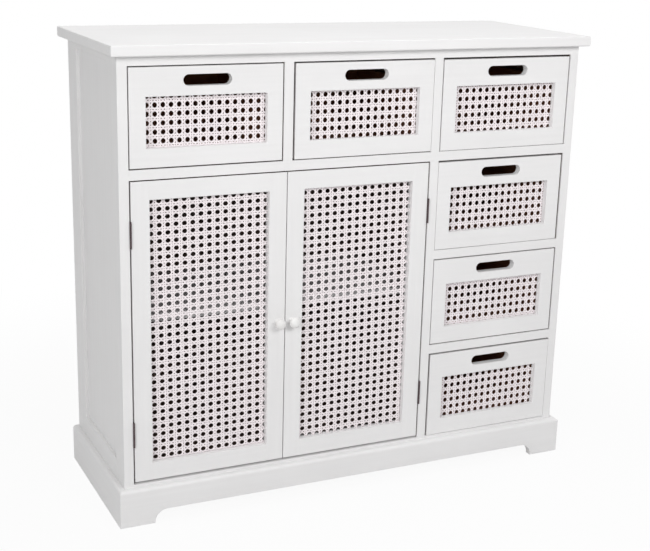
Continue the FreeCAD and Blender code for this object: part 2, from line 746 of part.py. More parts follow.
def check_model():
    """Stops if any object failed or any node has no valid solid."""
    for item in doc.Objects:
        if "Invalid" in item.State or "Error" in item.State:
            raise RuntimeError(f"{item.Label} failed: {item.State}")
    for node in nodes:
        if node.Shape.isNull() or not node.Shape.isValid() or not node.Shape.Solids:
            raise RuntimeError(f"{node.Label} has no valid solid")


make_top()
make_side("left", "left", "side_panel_recess", "left + side_panel_recess", True)
make_side("right", "inner_right", "board - side_panel_recess - side_panel_thickness",
          "right - side_panel_recess - side_panel_thickness", False)
make_inner_boards()
make_shelf()
make_skirts()
make_doors()
make_drawers()
doc.recompute()
check_model()
os.makedirs("parts", exist_ok=True)
for node in nodes:
    node.Shape.exportStep(os.path.join("parts", node.Label + ".step"))
print(len(nodes), "nodes,", sum(len(node.Shape.Solids) for node in nodes), "solids")
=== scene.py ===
"""Looks of a white painted sideboard whose drawers and doors are filled with woven cane."""

import logging
import math
from collections.abc import Callable, Iterable, Iterator
from contextlib import contextmanager
from dataclasses import dataclass
from enum import Enum

import bmesh
import bpy
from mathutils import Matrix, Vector

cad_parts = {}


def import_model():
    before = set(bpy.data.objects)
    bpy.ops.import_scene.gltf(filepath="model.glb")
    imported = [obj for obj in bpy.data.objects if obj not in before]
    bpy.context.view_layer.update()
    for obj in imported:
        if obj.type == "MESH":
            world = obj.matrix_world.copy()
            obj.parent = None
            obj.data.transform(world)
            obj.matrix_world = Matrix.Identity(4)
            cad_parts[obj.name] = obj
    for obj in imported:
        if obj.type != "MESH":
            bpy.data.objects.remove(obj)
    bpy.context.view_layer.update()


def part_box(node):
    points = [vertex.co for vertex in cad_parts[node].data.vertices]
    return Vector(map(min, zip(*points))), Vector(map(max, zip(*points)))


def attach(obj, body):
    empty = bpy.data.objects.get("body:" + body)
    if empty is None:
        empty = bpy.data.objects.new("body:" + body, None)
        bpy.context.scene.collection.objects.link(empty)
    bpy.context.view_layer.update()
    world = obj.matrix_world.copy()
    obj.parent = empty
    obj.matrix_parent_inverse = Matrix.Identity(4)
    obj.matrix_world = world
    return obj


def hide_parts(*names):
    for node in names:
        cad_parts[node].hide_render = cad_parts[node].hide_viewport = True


MM = 0.001
NEAR = 0.1 * MM
HAIR = 1e-6
CUT_TOLERANCE = 1e-7
FACING = 0.9
ROUND_SIDES = 32
SMALL_SIDES = 24
CABINET = "cabinet"
Piece = bpy.types.Object
Material = bpy.types.Material
Colour = tuple[float, float, float, float]
Triple = tuple[float, float, float]
Tones = tuple[Colour, Colour]
Sockets = dict[str | int, object]
Item = bmesh.types.BMVert | bmesh.types.BMEdge | bmesh.types.BMFace
Test = Callable[..., bool]
WHITE: Colour = (1.0, 1.0, 1.0, 1.0)
EVEN: Triple = (1.0, 1.0, 1.0)

log = logging.getLogger("sideboard")


class Axis(Enum):
    """A direction of the shared frame."""

    X = 0
    Y = 1
    Z = 2

    @property
    def vector(self) -> Vector:
        """The unit vector of the direction."""
        return Vector([1.0 if self.value == index else 0.0 for index in range(3)])


class Side(Enum):
    """A side of the sideboard, with the sign of its x."""

    LEFT = -1
    RIGHT = 1

    @property
    def word(self) -> str:
        """The side's name as the nodes have it."""
        return self.name.lower()

    def outer(self, low: Vector, high: Vector) -> float:
        """Gives the x of the face of a box that looks away from the sideboard's middle."""
        return low.x if self is Side.LEFT else high.x

    def inner(self, low: Vector, high: Vector) -> float:
        """Gives the x of the face of a box that looks to the sideboard's middle."""
        return high.x if self is Side.LEFT else low.x


class Slot(Enum):
    """The record's material slots."""

    PAINT = "white_paint"
    CANE = "cane"
    WOOD = "bare_wood"
    STEEL = "steel"
    PLASTIC = "catch_plastic"


class Strand(Enum):
    """A strand of the weave, with the angle of its fibres from upright in degrees."""

    UPRIGHT = 0.0
    ACROSS = 90.0
    RISING = -45.0
    FALLING = 45.0


class Element(Enum):
    """What is picked from an open mesh, with the name of its list there."""

    VERT = "verts"
    EDGE = "edges"
    FACE = "faces"

    def facts(self, item: Item) -> tuple[Vector, ...]:
        """Gives a point's place, an edge's two ends, or a face's middle and normal.

        Args:
            item: the point, edge or face.

        Returns:
            What a test is told about it.
        """
        if self is Element.FACE:
            return item.calc_center_median(), item.normal
        if self is Element.EDGE:
            return item.verts[0].co, item.verts[1].co
        return (item.co,)


def step(x: float = 0.0, y: float = 0.0, z: float = 0.0) -> Vector:
    """Gives a step by its lengths along the axes."""
    return Vector((x, y, z))


def at(corner: Vector, **places: float) -> Vector:
    """Gives a corner with some of its coordinates changed.

    Args:
        corner: the corner to start from.
        places: the new coordinates, by their letters.

    Returns:
        The new corner.
    """
    changed = corner.copy()
    for letter, place in places.items():
        setattr(changed, letter, place)
    return changed


def between(low: float, high: float, *places: float) -> list[float]:
    """Keeps the places that lie between two others."""
    return [place for place in places if low < place < high]


def stretched(grain: Axis, along: float, across: float) -> Triple:
    """Gives a scale that draws a pattern out along a grain."""
    return tuple(along if axis is grain else across for axis in Axis)


class Wire:
    """A shader socket that takes part in Python expressions."""

    def __init__(self, recipe: "Recipe", socket: "bpy.types.NodeSocket | None") -> None:
        """Keeps the recipe and the socket, which a node that ends the recipe doesn't have."""
        self.recipe = recipe
        self.socket = socket

    def __add__(self, other: "Wire | float") -> "Wire":
        """Adds a number or another wire."""
        return self.recipe.sum_up("ADD", self, other)

    def __radd__(self, other: float) -> "Wire":
        """Adds this wire to a number."""
        return self.recipe.sum_up("ADD", other, self)

    def __sub__(self, other: "Wire | float") -> "Wire":
        """Takes a number or another wire away."""
        return self.recipe.sum_up("SUBTRACT", self, other)

    def __rsub__(self, other: float) -> "Wire":
        """Takes this wire away from a number."""
        return self.recipe.sum_up("SUBTRACT", other, self)

    def __mul__(self, other: "Wire | float") -> "Wire":
        """Multiplies by a number or another wire."""
        return self.recipe.sum_up("MULTIPLY", self, other)

    def __rmul__(self, other: float) -> "Wire":
        """Multiplies a number by this wire."""
        return self.recipe.sum_up("MULTIPLY", other, self)

    def most(self, other: "Wire | float") -> "Wire":
        """Takes the larger of two values."""
        return self.recipe.sum_up("MAXIMUM", self, other)

    def ramp(self, low: float, high: float) -> "Wire":
        """Rises smoothly from 0 at low to 1 at high."""
        sockets = {"Value": self, "From Min": low, "From Max": high}
        return self.recipe.node("ShaderNodeMapRange", {"interpolation_type": "SMOOTHSTEP"}, sockets)


class Recipe:
    """A new material or world and the nodes that go into it."""

    def __init__(self, owner: "Material | bpy.types.World") -> None:
        """Empties the owner's node tree.

        Args:
            owner: the material or world that the nodes are for.
        """
        owner.use_nodes = True
        self.owner = owner
        self.tree = owner.node_tree
        self.tree.nodes.clear()

    def node(self, kind: str, settings: dict[str, object], sockets: Sockets, output: str | int = 0) -> Wire:
        """Adds a node.

        Args:
            kind: the node's type.
            settings: its properties, set first.
            sockets: values or wires for its inputs, by name or number.
            output: the output that is handed back, by name or number.

        Returns:
            A wire from that output.
        """
        made = self.tree.nodes.new(kind)
        for name, value in settings.items():
            setattr(made, name, value)
        for key, value in sockets.items():
            if isinstance(value, Wire):
                self.tree.links.new(value.socket, made.inputs[key])
            else:
                made.inputs[key].default_value = value
        return Wire(self, made.outputs[output] if made.outputs else None)

    def sum_up(self, operation: str, first: Wire | float, second: Wire | float) -> Wire:
        """Adds a Math node for one step of an expression."""
        return self.node("ShaderNodeMath", {"operation": operation}, {0: first, 1: second})

    def blend(self, share: Wire, first: Wire | Colour, second: Wire | Colour) -> Wire:
        """Blends two colours by a share of the second."""
        return self.node("ShaderNodeMix", {"data_type": "RGBA"}, {0: share, 6: first, 7: second}, 2)

    def place(self, stretch: Triple = EVEN, turn: float = 0.0) -> Wire:
        """Gives places on the object, turned about y and then scaled.

        Args:
            stretch: how much each direction is scaled.
            turn: the turn about y in degrees.

        Returns:
            A wire of places.
        """
        spot = self.node("ShaderNodeTexCoord", {}, {}, "Object")
        if turn:
            rotation = (0.0, math.radians(turn), 0.0)
            spot = self.node("ShaderNodeMapping", {}, {"Vector": spot, "Rotation": rotation})
        return self.node("ShaderNodeMapping", {}, {"Vector": spot, "Scale": stretch})

    def noise(self, detail: float, scale: float = 1.0, stretch: Triple = EVEN, turn: float = 0.0) -> Wire:
        """Gives soft random values from 0 to 1 over the object."""
        sockets = {"Vector": self.place(stretch, turn), "Scale": scale, "Detail": detail}
        return self.node("ShaderNodeTexNoise", {}, sockets, "Fac")

    def bump(self, height: Wire, depth: float) -> Wire:
        """Turns a height from 0 to 1 into a normal, with its real depth in metres."""
        return self.node("ShaderNodeBump", {}, {"Height": height, "Distance": depth, "Strength": 1.0})

    def surface(self, sockets: Sockets) -> Material:
        """Ends the recipe in a Principled shader.

        Args:
            sockets: the shader's inputs.

        Returns:
            The finished material.
        """
        shader = self.node("ShaderNodeBsdfPrincipled", {}, sockets)
        self.node("ShaderNodeOutputMaterial", {}, {"Surface": shader})
        return self.owner


@dataclass(frozen=True)
class Paint:
    """Satin white paint, brushed on along a board's grain."""

    grain: Axis
    pale: Colour = (0.837, 0.831, 0.831, 1.0)
    deep: Colour = (0.800, 0.793, 0.793, 1.0)
    roughness: float = 0.42
    cloud_scale: float = 7.0
    peel_scale: float = 520.0
    stroke_along: float = 6.0
    stroke_across: float = 160.0
    relief: float = 0.07 * MM

    def material(self) -> Material:
        """Makes the paint.

        Returns:
            The paint.
        """
        recipe = Recipe(bpy.data.materials.new(f"white_paint_along_{self.grain.name.lower()}"))
        clouds = recipe.noise(4.0, self.cloud_scale)
        strokes = recipe.noise(5.0, stretch=stretched(self.grain, self.stroke_along, self.stroke_across))
        peel = recipe.noise(2.0, self.peel_scale)
        return recipe.surface({
            "Base Color": recipe.blend((clouds * 0.6 + strokes * 0.4).ramp(0.3, 0.7), self.deep, self.pale),
            "Roughness": self.roughness + clouds * 0.16 - strokes * 0.06,
            "Normal": recipe.bump(strokes * 0.7 + peel * 0.3, self.relief),
        })


@dataclass(frozen=True)
class Enamel:
    """Glossier white paint for the turned knobs."""

    pale: Colour = (0.85, 0.85, 0.84, 1.0)
    deep: Colour = (0.78, 0.77, 0.76, 1.0)
    roughness: float = 0.24
    cloud_scale: float = 90.0
    ring_scale: Triple = (1.0, 900.0, 1.0)
    relief: float = 0.05 * MM

    def material(self) -> Material:
        """Makes the enamel.

        Returns:
            The enamel.
        """
        recipe = Recipe(bpy.data.materials.new("white_enamel"))
        clouds = recipe.noise(3.0, self.cloud_scale)
        rings = recipe.noise(2.0, stretch=self.ring_scale)
        return recipe.surface({
            "Base Color": recipe.blend(clouds.ramp(0.3, 0.75), self.deep, self.pale),
            "Roughness": self.roughness + clouds * 0.12,
            "Normal": recipe.bump(rings * 0.5 + clouds * 0.5, self.relief),
        })


@dataclass(frozen=True)
class CaneFinish:
    """Whitened cane whose fibres run along a strand."""

    strand: Strand
    pale: Colour = (0.95, 0.89, 0.905, 1.0)
    deep: Colour = (0.82, 0.755, 0.77, 1.0)
    fleck: Colour = (0.60, 0.52, 0.52, 1.0)
    roughness: float = 0.40
    fibre_scale: Triple = (2600.0, 2600.0, 60.0)
    length_scale: Triple = (380.0, 60.0, 22.0)
    speck_scale: Triple = (700.0, 700.0, 160.0)
    relief: float = 0.08 * MM

    def material(self) -> Material:
        """Makes the cane.

        Returns:
            The cane.
        """
        recipe = Recipe(bpy.data.materials.new(f"cane_{self.strand.name.lower()}"))
        turn = self.strand.value
        fibres = recipe.noise(3.0, stretch=self.fibre_scale, turn=turn)
        lengths = recipe.noise(2.0, stretch=self.length_scale, turn=turn)
        specks = recipe.noise(2.0, stretch=self.speck_scale, turn=turn).ramp(0.70, 0.80)
        body = recipe.blend((fibres * 0.55 + lengths * 0.45).ramp(0.3, 0.68), self.deep, self.pale)
        return recipe.surface({
            "Base Color": recipe.blend(specks * 0.5, body, self.fleck),
            "Roughness": self.roughness + fibres * 0.2,
            "Normal": recipe.bump(fibres, self.relief),
        })


@dataclass(frozen=True)
class Wood:
    """Unpainted wood with its grain along an axis."""

    name: str
    grain: Axis
    pale: Colour
    deep: Colour
    roughness: float = 0.52
    band_along: float = 1.6
    band_across: float = 34.0
    pore_along: float = 22.0
    pore_across: float = 900.0
    relief: float = 0.12 * MM

    def material(self) -> Material:
        """Makes the wood.

        Returns:
            The wood.
        """
        recipe = Recipe(bpy.data.materials.new(f"{self.name}_along_{self.grain.name.lower()}"))
        bands = recipe.noise(4.0, stretch=stretched(self.grain, self.band_along, self.band_across))
        pores = recipe.noise(3.0, stretch=stretched(self.grain, self.pore_along, self.pore_across))
        return recipe.surface({
            "Base Color": recipe.blend((bands * 0.65 + pores * 0.35).ramp(0.34, 0.66), self.deep, self.pale),
            "Roughness": self.roughness + pores * 0.2,
            "Normal": recipe.bump(pores * 0.7 + bands * 0.3, self.relief),
        })


@dataclass(frozen=True)
class Metal:
    """Brushed metal with a little tarnish."""

    name: str
    bright: Colour
    dull: Colour
    roughness: float = 0.28
    brush_scale: Triple = (2400.0, 2400.0, 140.0)
    tarnish_scale: float = 160.0
    relief: float = 0.03 * MM

    def material(self) -> Material:
        """Makes the metal.

        Returns:
            The metal.
        """
        recipe = Recipe(bpy.data.materials.new(self.name))
        brushing = recipe.noise(3.0, stretch=self.brush_scale)
        tarnish = recipe.noise(4.0, self.tarnish_scale)
        tone = (brushing * 0.5 + tarnish * 0.5).ramp(0.3, 0.7)
        return recipe.surface({
            "Base Color": recipe.blend(tone, self.dull, self.bright),
            "Metallic": 1.0,
            "Roughness": self.roughness + tarnish * 0.25,
            "Normal": recipe.bump(brushing, self.relief),
        })


@dataclass(frozen=True)
class Plastic:
    """Moulded plastic of the door catches."""

    pale: Colour = (0.66, 0.65, 0.62, 1.0)
    deep: Colour = (0.55, 0.54, 0.51, 1.0)
    roughness: float = 0.42
    cloud_scale: float = 60.0
    grain_scale: float = 2400.0
    relief: float = 0.04 * MM

    def material(self) -> Material:
        """Makes the plastic.

        Returns:
            The plastic.
        """
        recipe = Recipe(bpy.data.materials.new("catch_plastic"))
        clouds = recipe.noise(3.0, self.cloud_scale)
        grain = recipe.noise(2.0, self.grain_scale)
        return recipe.surface({
            "Base Color": recipe.blend(clouds.ramp(0.3, 0.7), self.deep, self.pale),
            "Roughness": self.roughness + clouds * 0.1,
            "Normal": recipe.bump(grain, self.relief),
        })


class Finishes:
    """One material of each finish."""

    drawer_tones: Tones = ((0.42, 0.20, 0.115, 1.0), (0.225, 0.097, 0.053, 1.0))
    stained_tones: Tones = ((0.155, 0.102, 0.078, 1.0), (0.092, 0.06, 0.046, 1.0))
    ply_tones: Tones = ((0.47, 0.33, 0.205, 1.0), (0.33, 0.215, 0.125, 1.0))
    steel_tones: Tones = ((0.56, 0.56, 0.55, 1.0), (0.36, 0.355, 0.345, 1.0))
    bronze_tones: Tones = ((0.14, 0.105, 0.112, 1.0), (0.075, 0.053, 0.058, 1.0))

    def __init__(self) -> None:
        """Makes every material once."""
        self.paint = {axis: Paint(axis).material() for axis in Axis}
        self.enamel = Enamel().material()
        self.wood = {axis: Wood("drawer_wood", axis, *self.drawer_tones).material() for axis in Axis}
        self.stained = {axis: Wood("stained_wood", axis, *self.stained_tones).material() for axis in Axis}
        self.ply = Wood("back_ply", Axis.Z, *self.ply_tones).material()
        self.steel = Metal("brushed_steel", *self.steel_tones).material()
        self.bronze = Metal("bronzed_steel", *self.bronze_tones).material()
        self.plastic = Plastic().material()
        self.cane = {strand: CaneFinish(strand).material() for strand in Strand}


class Bench:
    """The modelling moves that the pieces are made with."""

    sharp_angle: float = math.radians(40.0)
    flat_weight: int = 90

    @staticmethod
    def hold(*pieces: Piece) -> None:
        """Selects these pieces alone, the last of them active, in object mode.

        Args:
            pieces: the pieces to select, if any.
        """
        if bpy.context.mode != "OBJECT":
            bpy.ops.object.mode_set(mode="OBJECT")
        bpy.ops.object.select_all(action="DESELECT")
        for piece in pieces:
            piece.select_set(True)
            bpy.context.view_layer.objects.active = piece

    @staticmethod
    def named(name: str) -> Piece:
        """Names the active piece and moves its place, turn and size into its mesh.

        Args:
            name: the piece's name.

        Returns:
            The active piece.
        """
        piece = bpy.context.active_object
        piece.name = name
        bpy.ops.object.transform_apply(location=True, rotation=True, scale=True)
        return piece

    @staticmethod
    def block(name: str, low: Vector, high: Vector) -> Piece:
        """Adds a block between two corners.

        Args:
            name: the piece's name.
            low: its lowest corner.
            high: its highest corner.

        Returns:
            The block.
        """
        Bench.hold()
        bpy.ops.mesh.primitive_cube_add(size=1.0, location=(low + high) / 2, scale=high - low)
        return Bench.named(name)

    @staticmethod
    def rod(name: str, start: Vector, end: Vector, radius: float, sides: int = SMALL_SIDES) -> Piece:
        """Adds a round rod between two points.

        Args:
            name: the piece's name.
            start: the middle of one end.
            end: the middle of the other end.
            radius: the rod's radius.
            sides: how many flats make it round.

        Returns:
            The rod.
        """
        Bench.hold()
        run = end - start
        turn = run.to_track_quat("Z", "Y").to_euler()
        bpy.ops.mesh.primitive_cylinder_add(vertices=sides, radius=radius, depth=run.length,
                                            location=(start + end) / 2, rotation=turn)
        return Bench.named(name)

    @staticmethod
    @contextmanager
    def shaping(piece: Piece) -> Iterator[None]:
        """Opens a piece in edit mode with nothing selected.

        Args:
            piece: the piece to open.

        Yields:
            Nothing, while the piece is open.
        """
        Bench.hold(piece)
        bpy.ops.object.mode_set(mode="EDIT")
        bpy.ops.mesh.select_all(action="DESELECT")
        yield
        bpy.ops.object.mode_set(mode="OBJECT")

    @staticmethod
    def pick(piece: Piece, element: Element, test: Test) -> None:
        """Selects the points, edges or faces of an open piece that pass a test.

        Args:
            piece: the open piece.
            element: what is picked.
            test: takes a point, the two ends of an edge, or the middle and the normal of a face.
        """
        bpy.ops.mesh.select_mode(type=element.name)
        bpy.ops.mesh.select_all(action="DESELECT")
        shape = bmesh.from_edit_mesh(piece.data)
        for item in getattr(shape, element.value):
            if test(*element.facts(item)):
                item.select_set(True)
        bmesh.update_edit_mesh(piece.data)

    @staticmethod
    def slice(axis: Axis, *places: float) -> None:
        """Cuts new edges right round the open piece where it crosses planes square to an axis.

        Args:
            axis: the direction that the planes are square to.
            places: where the planes are.
        """
        for place in places:
            bpy.ops.mesh.select_all(action="SELECT")
            bpy.ops.mesh.bisect(plane_co=axis.vector * place, plane_no=axis.vector, threshold=CUT_TOLERANCE)

    @staticmethod
    def trim(axis: Axis, low: float, high: float) -> None:
        """Cuts the open piece off below and above two planes square to an axis, and caps the cuts.

        Args:
            axis: the direction that the planes are square to.
            low: where the lower plane is.
            high: where the upper plane is.
        """
        for place, direction in ((high, 1.0), (low, -1.0)):
            bpy.ops.mesh.select_all(action="SELECT")
            bpy.ops.mesh.bisect(plane_co=axis.vector * place, plane_no=axis.vector * direction,
                                use_fill=True, clear_outer=True, threshold=CUT_TOLERANCE)

    @staticmethod
    def pull(reach: Vector) -> None:
        """Extrudes what is selected by a step."""
        bpy.ops.mesh.extrude_region_move(TRANSFORM_OT_translate={"value": tuple(reach)})

    @staticmethod
    def round_edges(radius: float, strips: int = 3) -> None:
        """Rounds the selected edges of the open piece with a number of strips."""
        bpy.ops.mesh.bevel(offset=radius, offset_type="OFFSET", segments=strips, profile=0.5, affect="EDGES")

    @staticmethod
    def modify(piece: Piece, kind: str, settings: dict[str, object]) -> None:
        """Adds a modifier to a piece and applies it.

        Args:
            piece: the piece to change.
            kind: the modifier's type.
            settings: its properties.
        """
        Bench.hold(piece)
        modifier = piece.modifiers.new(kind.lower(), kind)
        for name, value in settings.items():
            setattr(modifier, name, value)
        bpy.ops.object.modifier_apply(modifier=modifier.name)

    @staticmethod
    def ease(piece: Piece, width: float, strips: int = 2) -> Piece:
        """Softens a piece's sharp edges and shades its flat faces flat.

        Args:
            piece: the piece to soften.
            width: how much each edge loses.
            strips: how many strips make the curve.

        Returns:
            The same piece.
        """
        Bench.modify(piece, "BEVEL", {"width": width, "segments": strips, "limit_method": "ANGLE",
                                      "angle_limit": Bench.sharp_angle})
        bpy.ops.object.shade_smooth()
        Bench.modify(piece, "WEIGHTED_NORMAL", {"mode": "FACE_AREA", "weight": Bench.flat_weight})
        return piece

    @staticmethod
    def cut(piece: Piece, cutter: Piece) -> None:
        """Cuts the shape of one piece out of another and throws the cutter away."""
        Bench.modify(piece, "BOOLEAN", {"operation": "DIFFERENCE", "solver": "EXACT", "object": cutter})
        bpy.data.objects.remove(cutter)

    @staticmethod
    def join(name: str, pieces: Iterable[Piece]) -> Piece:
        """Makes several pieces one mesh.

        Args:
            name: the joined piece's name.
            pieces: the pieces, the last of which takes the others in.

        Returns:
            The joined piece.
        """
        Bench.hold(*pieces)
        bpy.ops.object.join()
        return Bench.named(name)

    @staticmethod
    def copy(piece: Piece, name: str, reach: Vector) -> Piece:
        """Copies a piece with a mesh of its own and moves the copy.

        Args:
            piece: the piece to copy.
            name: the copy's name.
            reach: how far the copy is moved.

        Returns:
            The copy.
        """
        Bench.hold(piece)
        bpy.ops.object.duplicate(linked=False)
        bpy.ops.transform.translate(value=reach)
        return Bench.named(name)

    @staticmethod
    def repeat(name: str, piece: Piece, *steps: Vector) -> Piece:
        """Copies a piece by each of some steps and makes all of them one mesh."""
        copies = [Bench.copy(piece, f"{name}_{number}", reach) for number, reach in enumerate(steps)]
        return Bench.join(name, (piece, *copies))

    @staticmethod
    def wear(piece: Piece, *materials: Material) -> Piece:
        """Gives a piece its materials.

        Args:
            piece: the piece to dress.
            materials: its materials in order.

        Returns:
            The same piece.
        """
        piece.data.materials.clear()
        for material in materials:
            piece.data.materials.append(material)
        return piece

    @staticmethod
    def two_tone(piece: Piece, most: Material, rest: Material, test: Test) -> Piece:
        """Gives a piece one finish, and another where a face's middle and normal pass a test.

        Args:
            piece: the piece to dress.
            most: the finish of most faces.
            rest: the finish of the faces that pass.
            test: takes the middle and the normal of a face.

        Returns:
            The same piece.
        """
        Bench.wear(piece, most, rest)
        for face in piece.data.polygons:
            face.material_index = int(test(face.center, face.normal))
        return piece

    @staticmethod
    def deliver(piece: Piece, body: str, slot: Slot, *nodes: str) -> None:
        """Hands a finished piece over to the body that it rides on.

        Args:
            piece: the finished piece.
            body: the body it moves with.
            slot: the record's slot of its finish; not used.
            nodes: the solids that it stands for.
        """
        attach(piece, body)
        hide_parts(*nodes)
        log.info("%s rides on %s with %d faces", piece.name, body, len(piece.data.polygons))


@dataclass
class Top:
    """The board on top, with its upper edges eased and its lower ones rounded under."""

    finishes: Finishes
    upper_radius: float = 1.3 * MM
    upper_strips: int = 4
    lower_radius: float = 2.6 * MM
    lower_strips: int = 5
    eased: float = 0.6 * MM

    def build(self) -> None:
        """Models the top."""
        low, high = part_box("top_panel")
        top = Bench.block("top_board", low, high)
        with Bench.shaping(top):
            Bench.pick(top, Element.EDGE, lambda start, end: min(start.z, end.z) > high.z - MM)
            Bench.round_edges(self.upper_radius, self.upper_strips)
            Bench.pick(top, Element.EDGE, lambda start, end: max(start.z, end.z) < low.z + MM)
            Bench.round_edges(self.lower_radius, self.lower_strips)
        Bench.wear(Bench.ease(top, self.eased), self.finishes.paint[Axis.X])
        Bench.deliver(top, CABINET, Slot.PAINT, "top_panel")


@dataclass
class SideFrame:
    """A side of the carcass: grooved stiles and rails round a thin recessed panel."""

    side: Side
    finishes: Finishes
    groove_depth: float = 6.0 * MM
    rounded: float = 0.8 * MM
    joint: float = 0.12 * MM
    panel_ease: float = 0.3 * MM
    painted_lip: float = 3.0 * MM

    def node(self, ending: str) -> tuple[Vector, Vector]:
        """Gives the two corners of one of this side's nodes."""
        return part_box(f"{self.side.word}_{ending}")

    def channel(self, name: str, low: Vector, high: Vector, axis: Axis, far: bool) -> Piece:
        """Models a stile or rail with a groove for the panel along one edge.

        Args:
            name: the member's name, without its side.
            low: its lowest corner.
            high: its highest corner.
            axis: the direction that its groove opens in.
            far: whether the groove is on the member's far edge.

        Returns:
            The member.
        """
        groove_low, groove_high = (corner.x for corner in self.node("side_panel"))
        front = self.node("front_stile")[0].y
        outer = self.side.outer(low, high)
        run = Axis.Z if axis is Axis.Y else Axis.Y
        reach = axis.vector * (self.groove_depth if far else -self.groove_depth)
        opens = reach.normalized()
        corners = (low, high - reach) if far else (low - reach, high)
        member = Bench.block(f"{self.side.word}_{name}", *corners)
        with Bench.shaping(member):
            Bench.slice(Axis.X, groove_low, groove_high)
            Bench.slice(Axis.Y, front + self.painted_lip)
            Bench.pick(member, Element.FACE, lambda middle, normal: normal.dot(opens) > FACING
                       and not groove_low < middle.x < groove_high)
            Bench.pull(reach)
            Bench.pick(member, Element.EDGE,
                       lambda start, end: abs(start.x - outer) + abs(end.x - outer) < NEAR
                       and abs((end - start).normalized().dot(run.vector)) > FACING)
            Bench.round_edges(self.rounded)
        return Bench.ease(member, self.joint)

    def dress(self, piece: Piece, grain: Axis) -> Piece:
        """Paints a piece outside and along its front, and leaves its inner side bare.

        Args:
            piece: the stile, the rails or the panel.
            grain: the direction of its grain.

        Returns:
            The same piece.
        """
        front = self.node("front_stile")[0].y + self.painted_lip
        back = self.node("rear_stile")[1].y - self.joint
        inner = self.side.inner(*self.node("side_panel"))
        return Bench.two_tone(piece, self.finishes.paint[grain], self.finishes.stained[grain],
                              lambda middle, normal: front < middle.y < back
                              and (middle.x - inner) * self.side.value < NEAR)

    def build(self) -> None:
        """Models the four members and the panel."""
        word = self.side.word
        panel_low, panel_high = self.node("side_panel")
        rails_low, rails_high = self.node("side_rails")
        lower_high = at(rails_high, z=panel_low.z + self.groove_depth)
        upper_low = at(rails_low, z=panel_high.z - self.groove_depth)
        front = self.channel("front_post", *self.node("front_stile"), Axis.Y, True)
        rear = self.channel("rear_post", *self.node("rear_stile"), Axis.Y, False)
        lower = self.channel("lower_rail", rails_low, lower_high, Axis.Z, True)
        upper = self.channel("upper_rail", upper_low, rails_high, Axis.Z, False)
        rails = Bench.join(f"{word}_rail_pair", (lower, upper))
        panel = Bench.ease(Bench.block(f"{word}_thin_panel", panel_low, panel_high), self.panel_ease)
        for piece, grain, node in ((front, Axis.Z, "front_stile"), (rear, Axis.Z, "rear_stile"),
                                   (rails, Axis.Y, "side_rails"), (panel, Axis.Z, "side_panel")):
            Bench.deliver(self.dress(piece, grain), CABINET, Slot.PAINT, f"{word}_{node}")


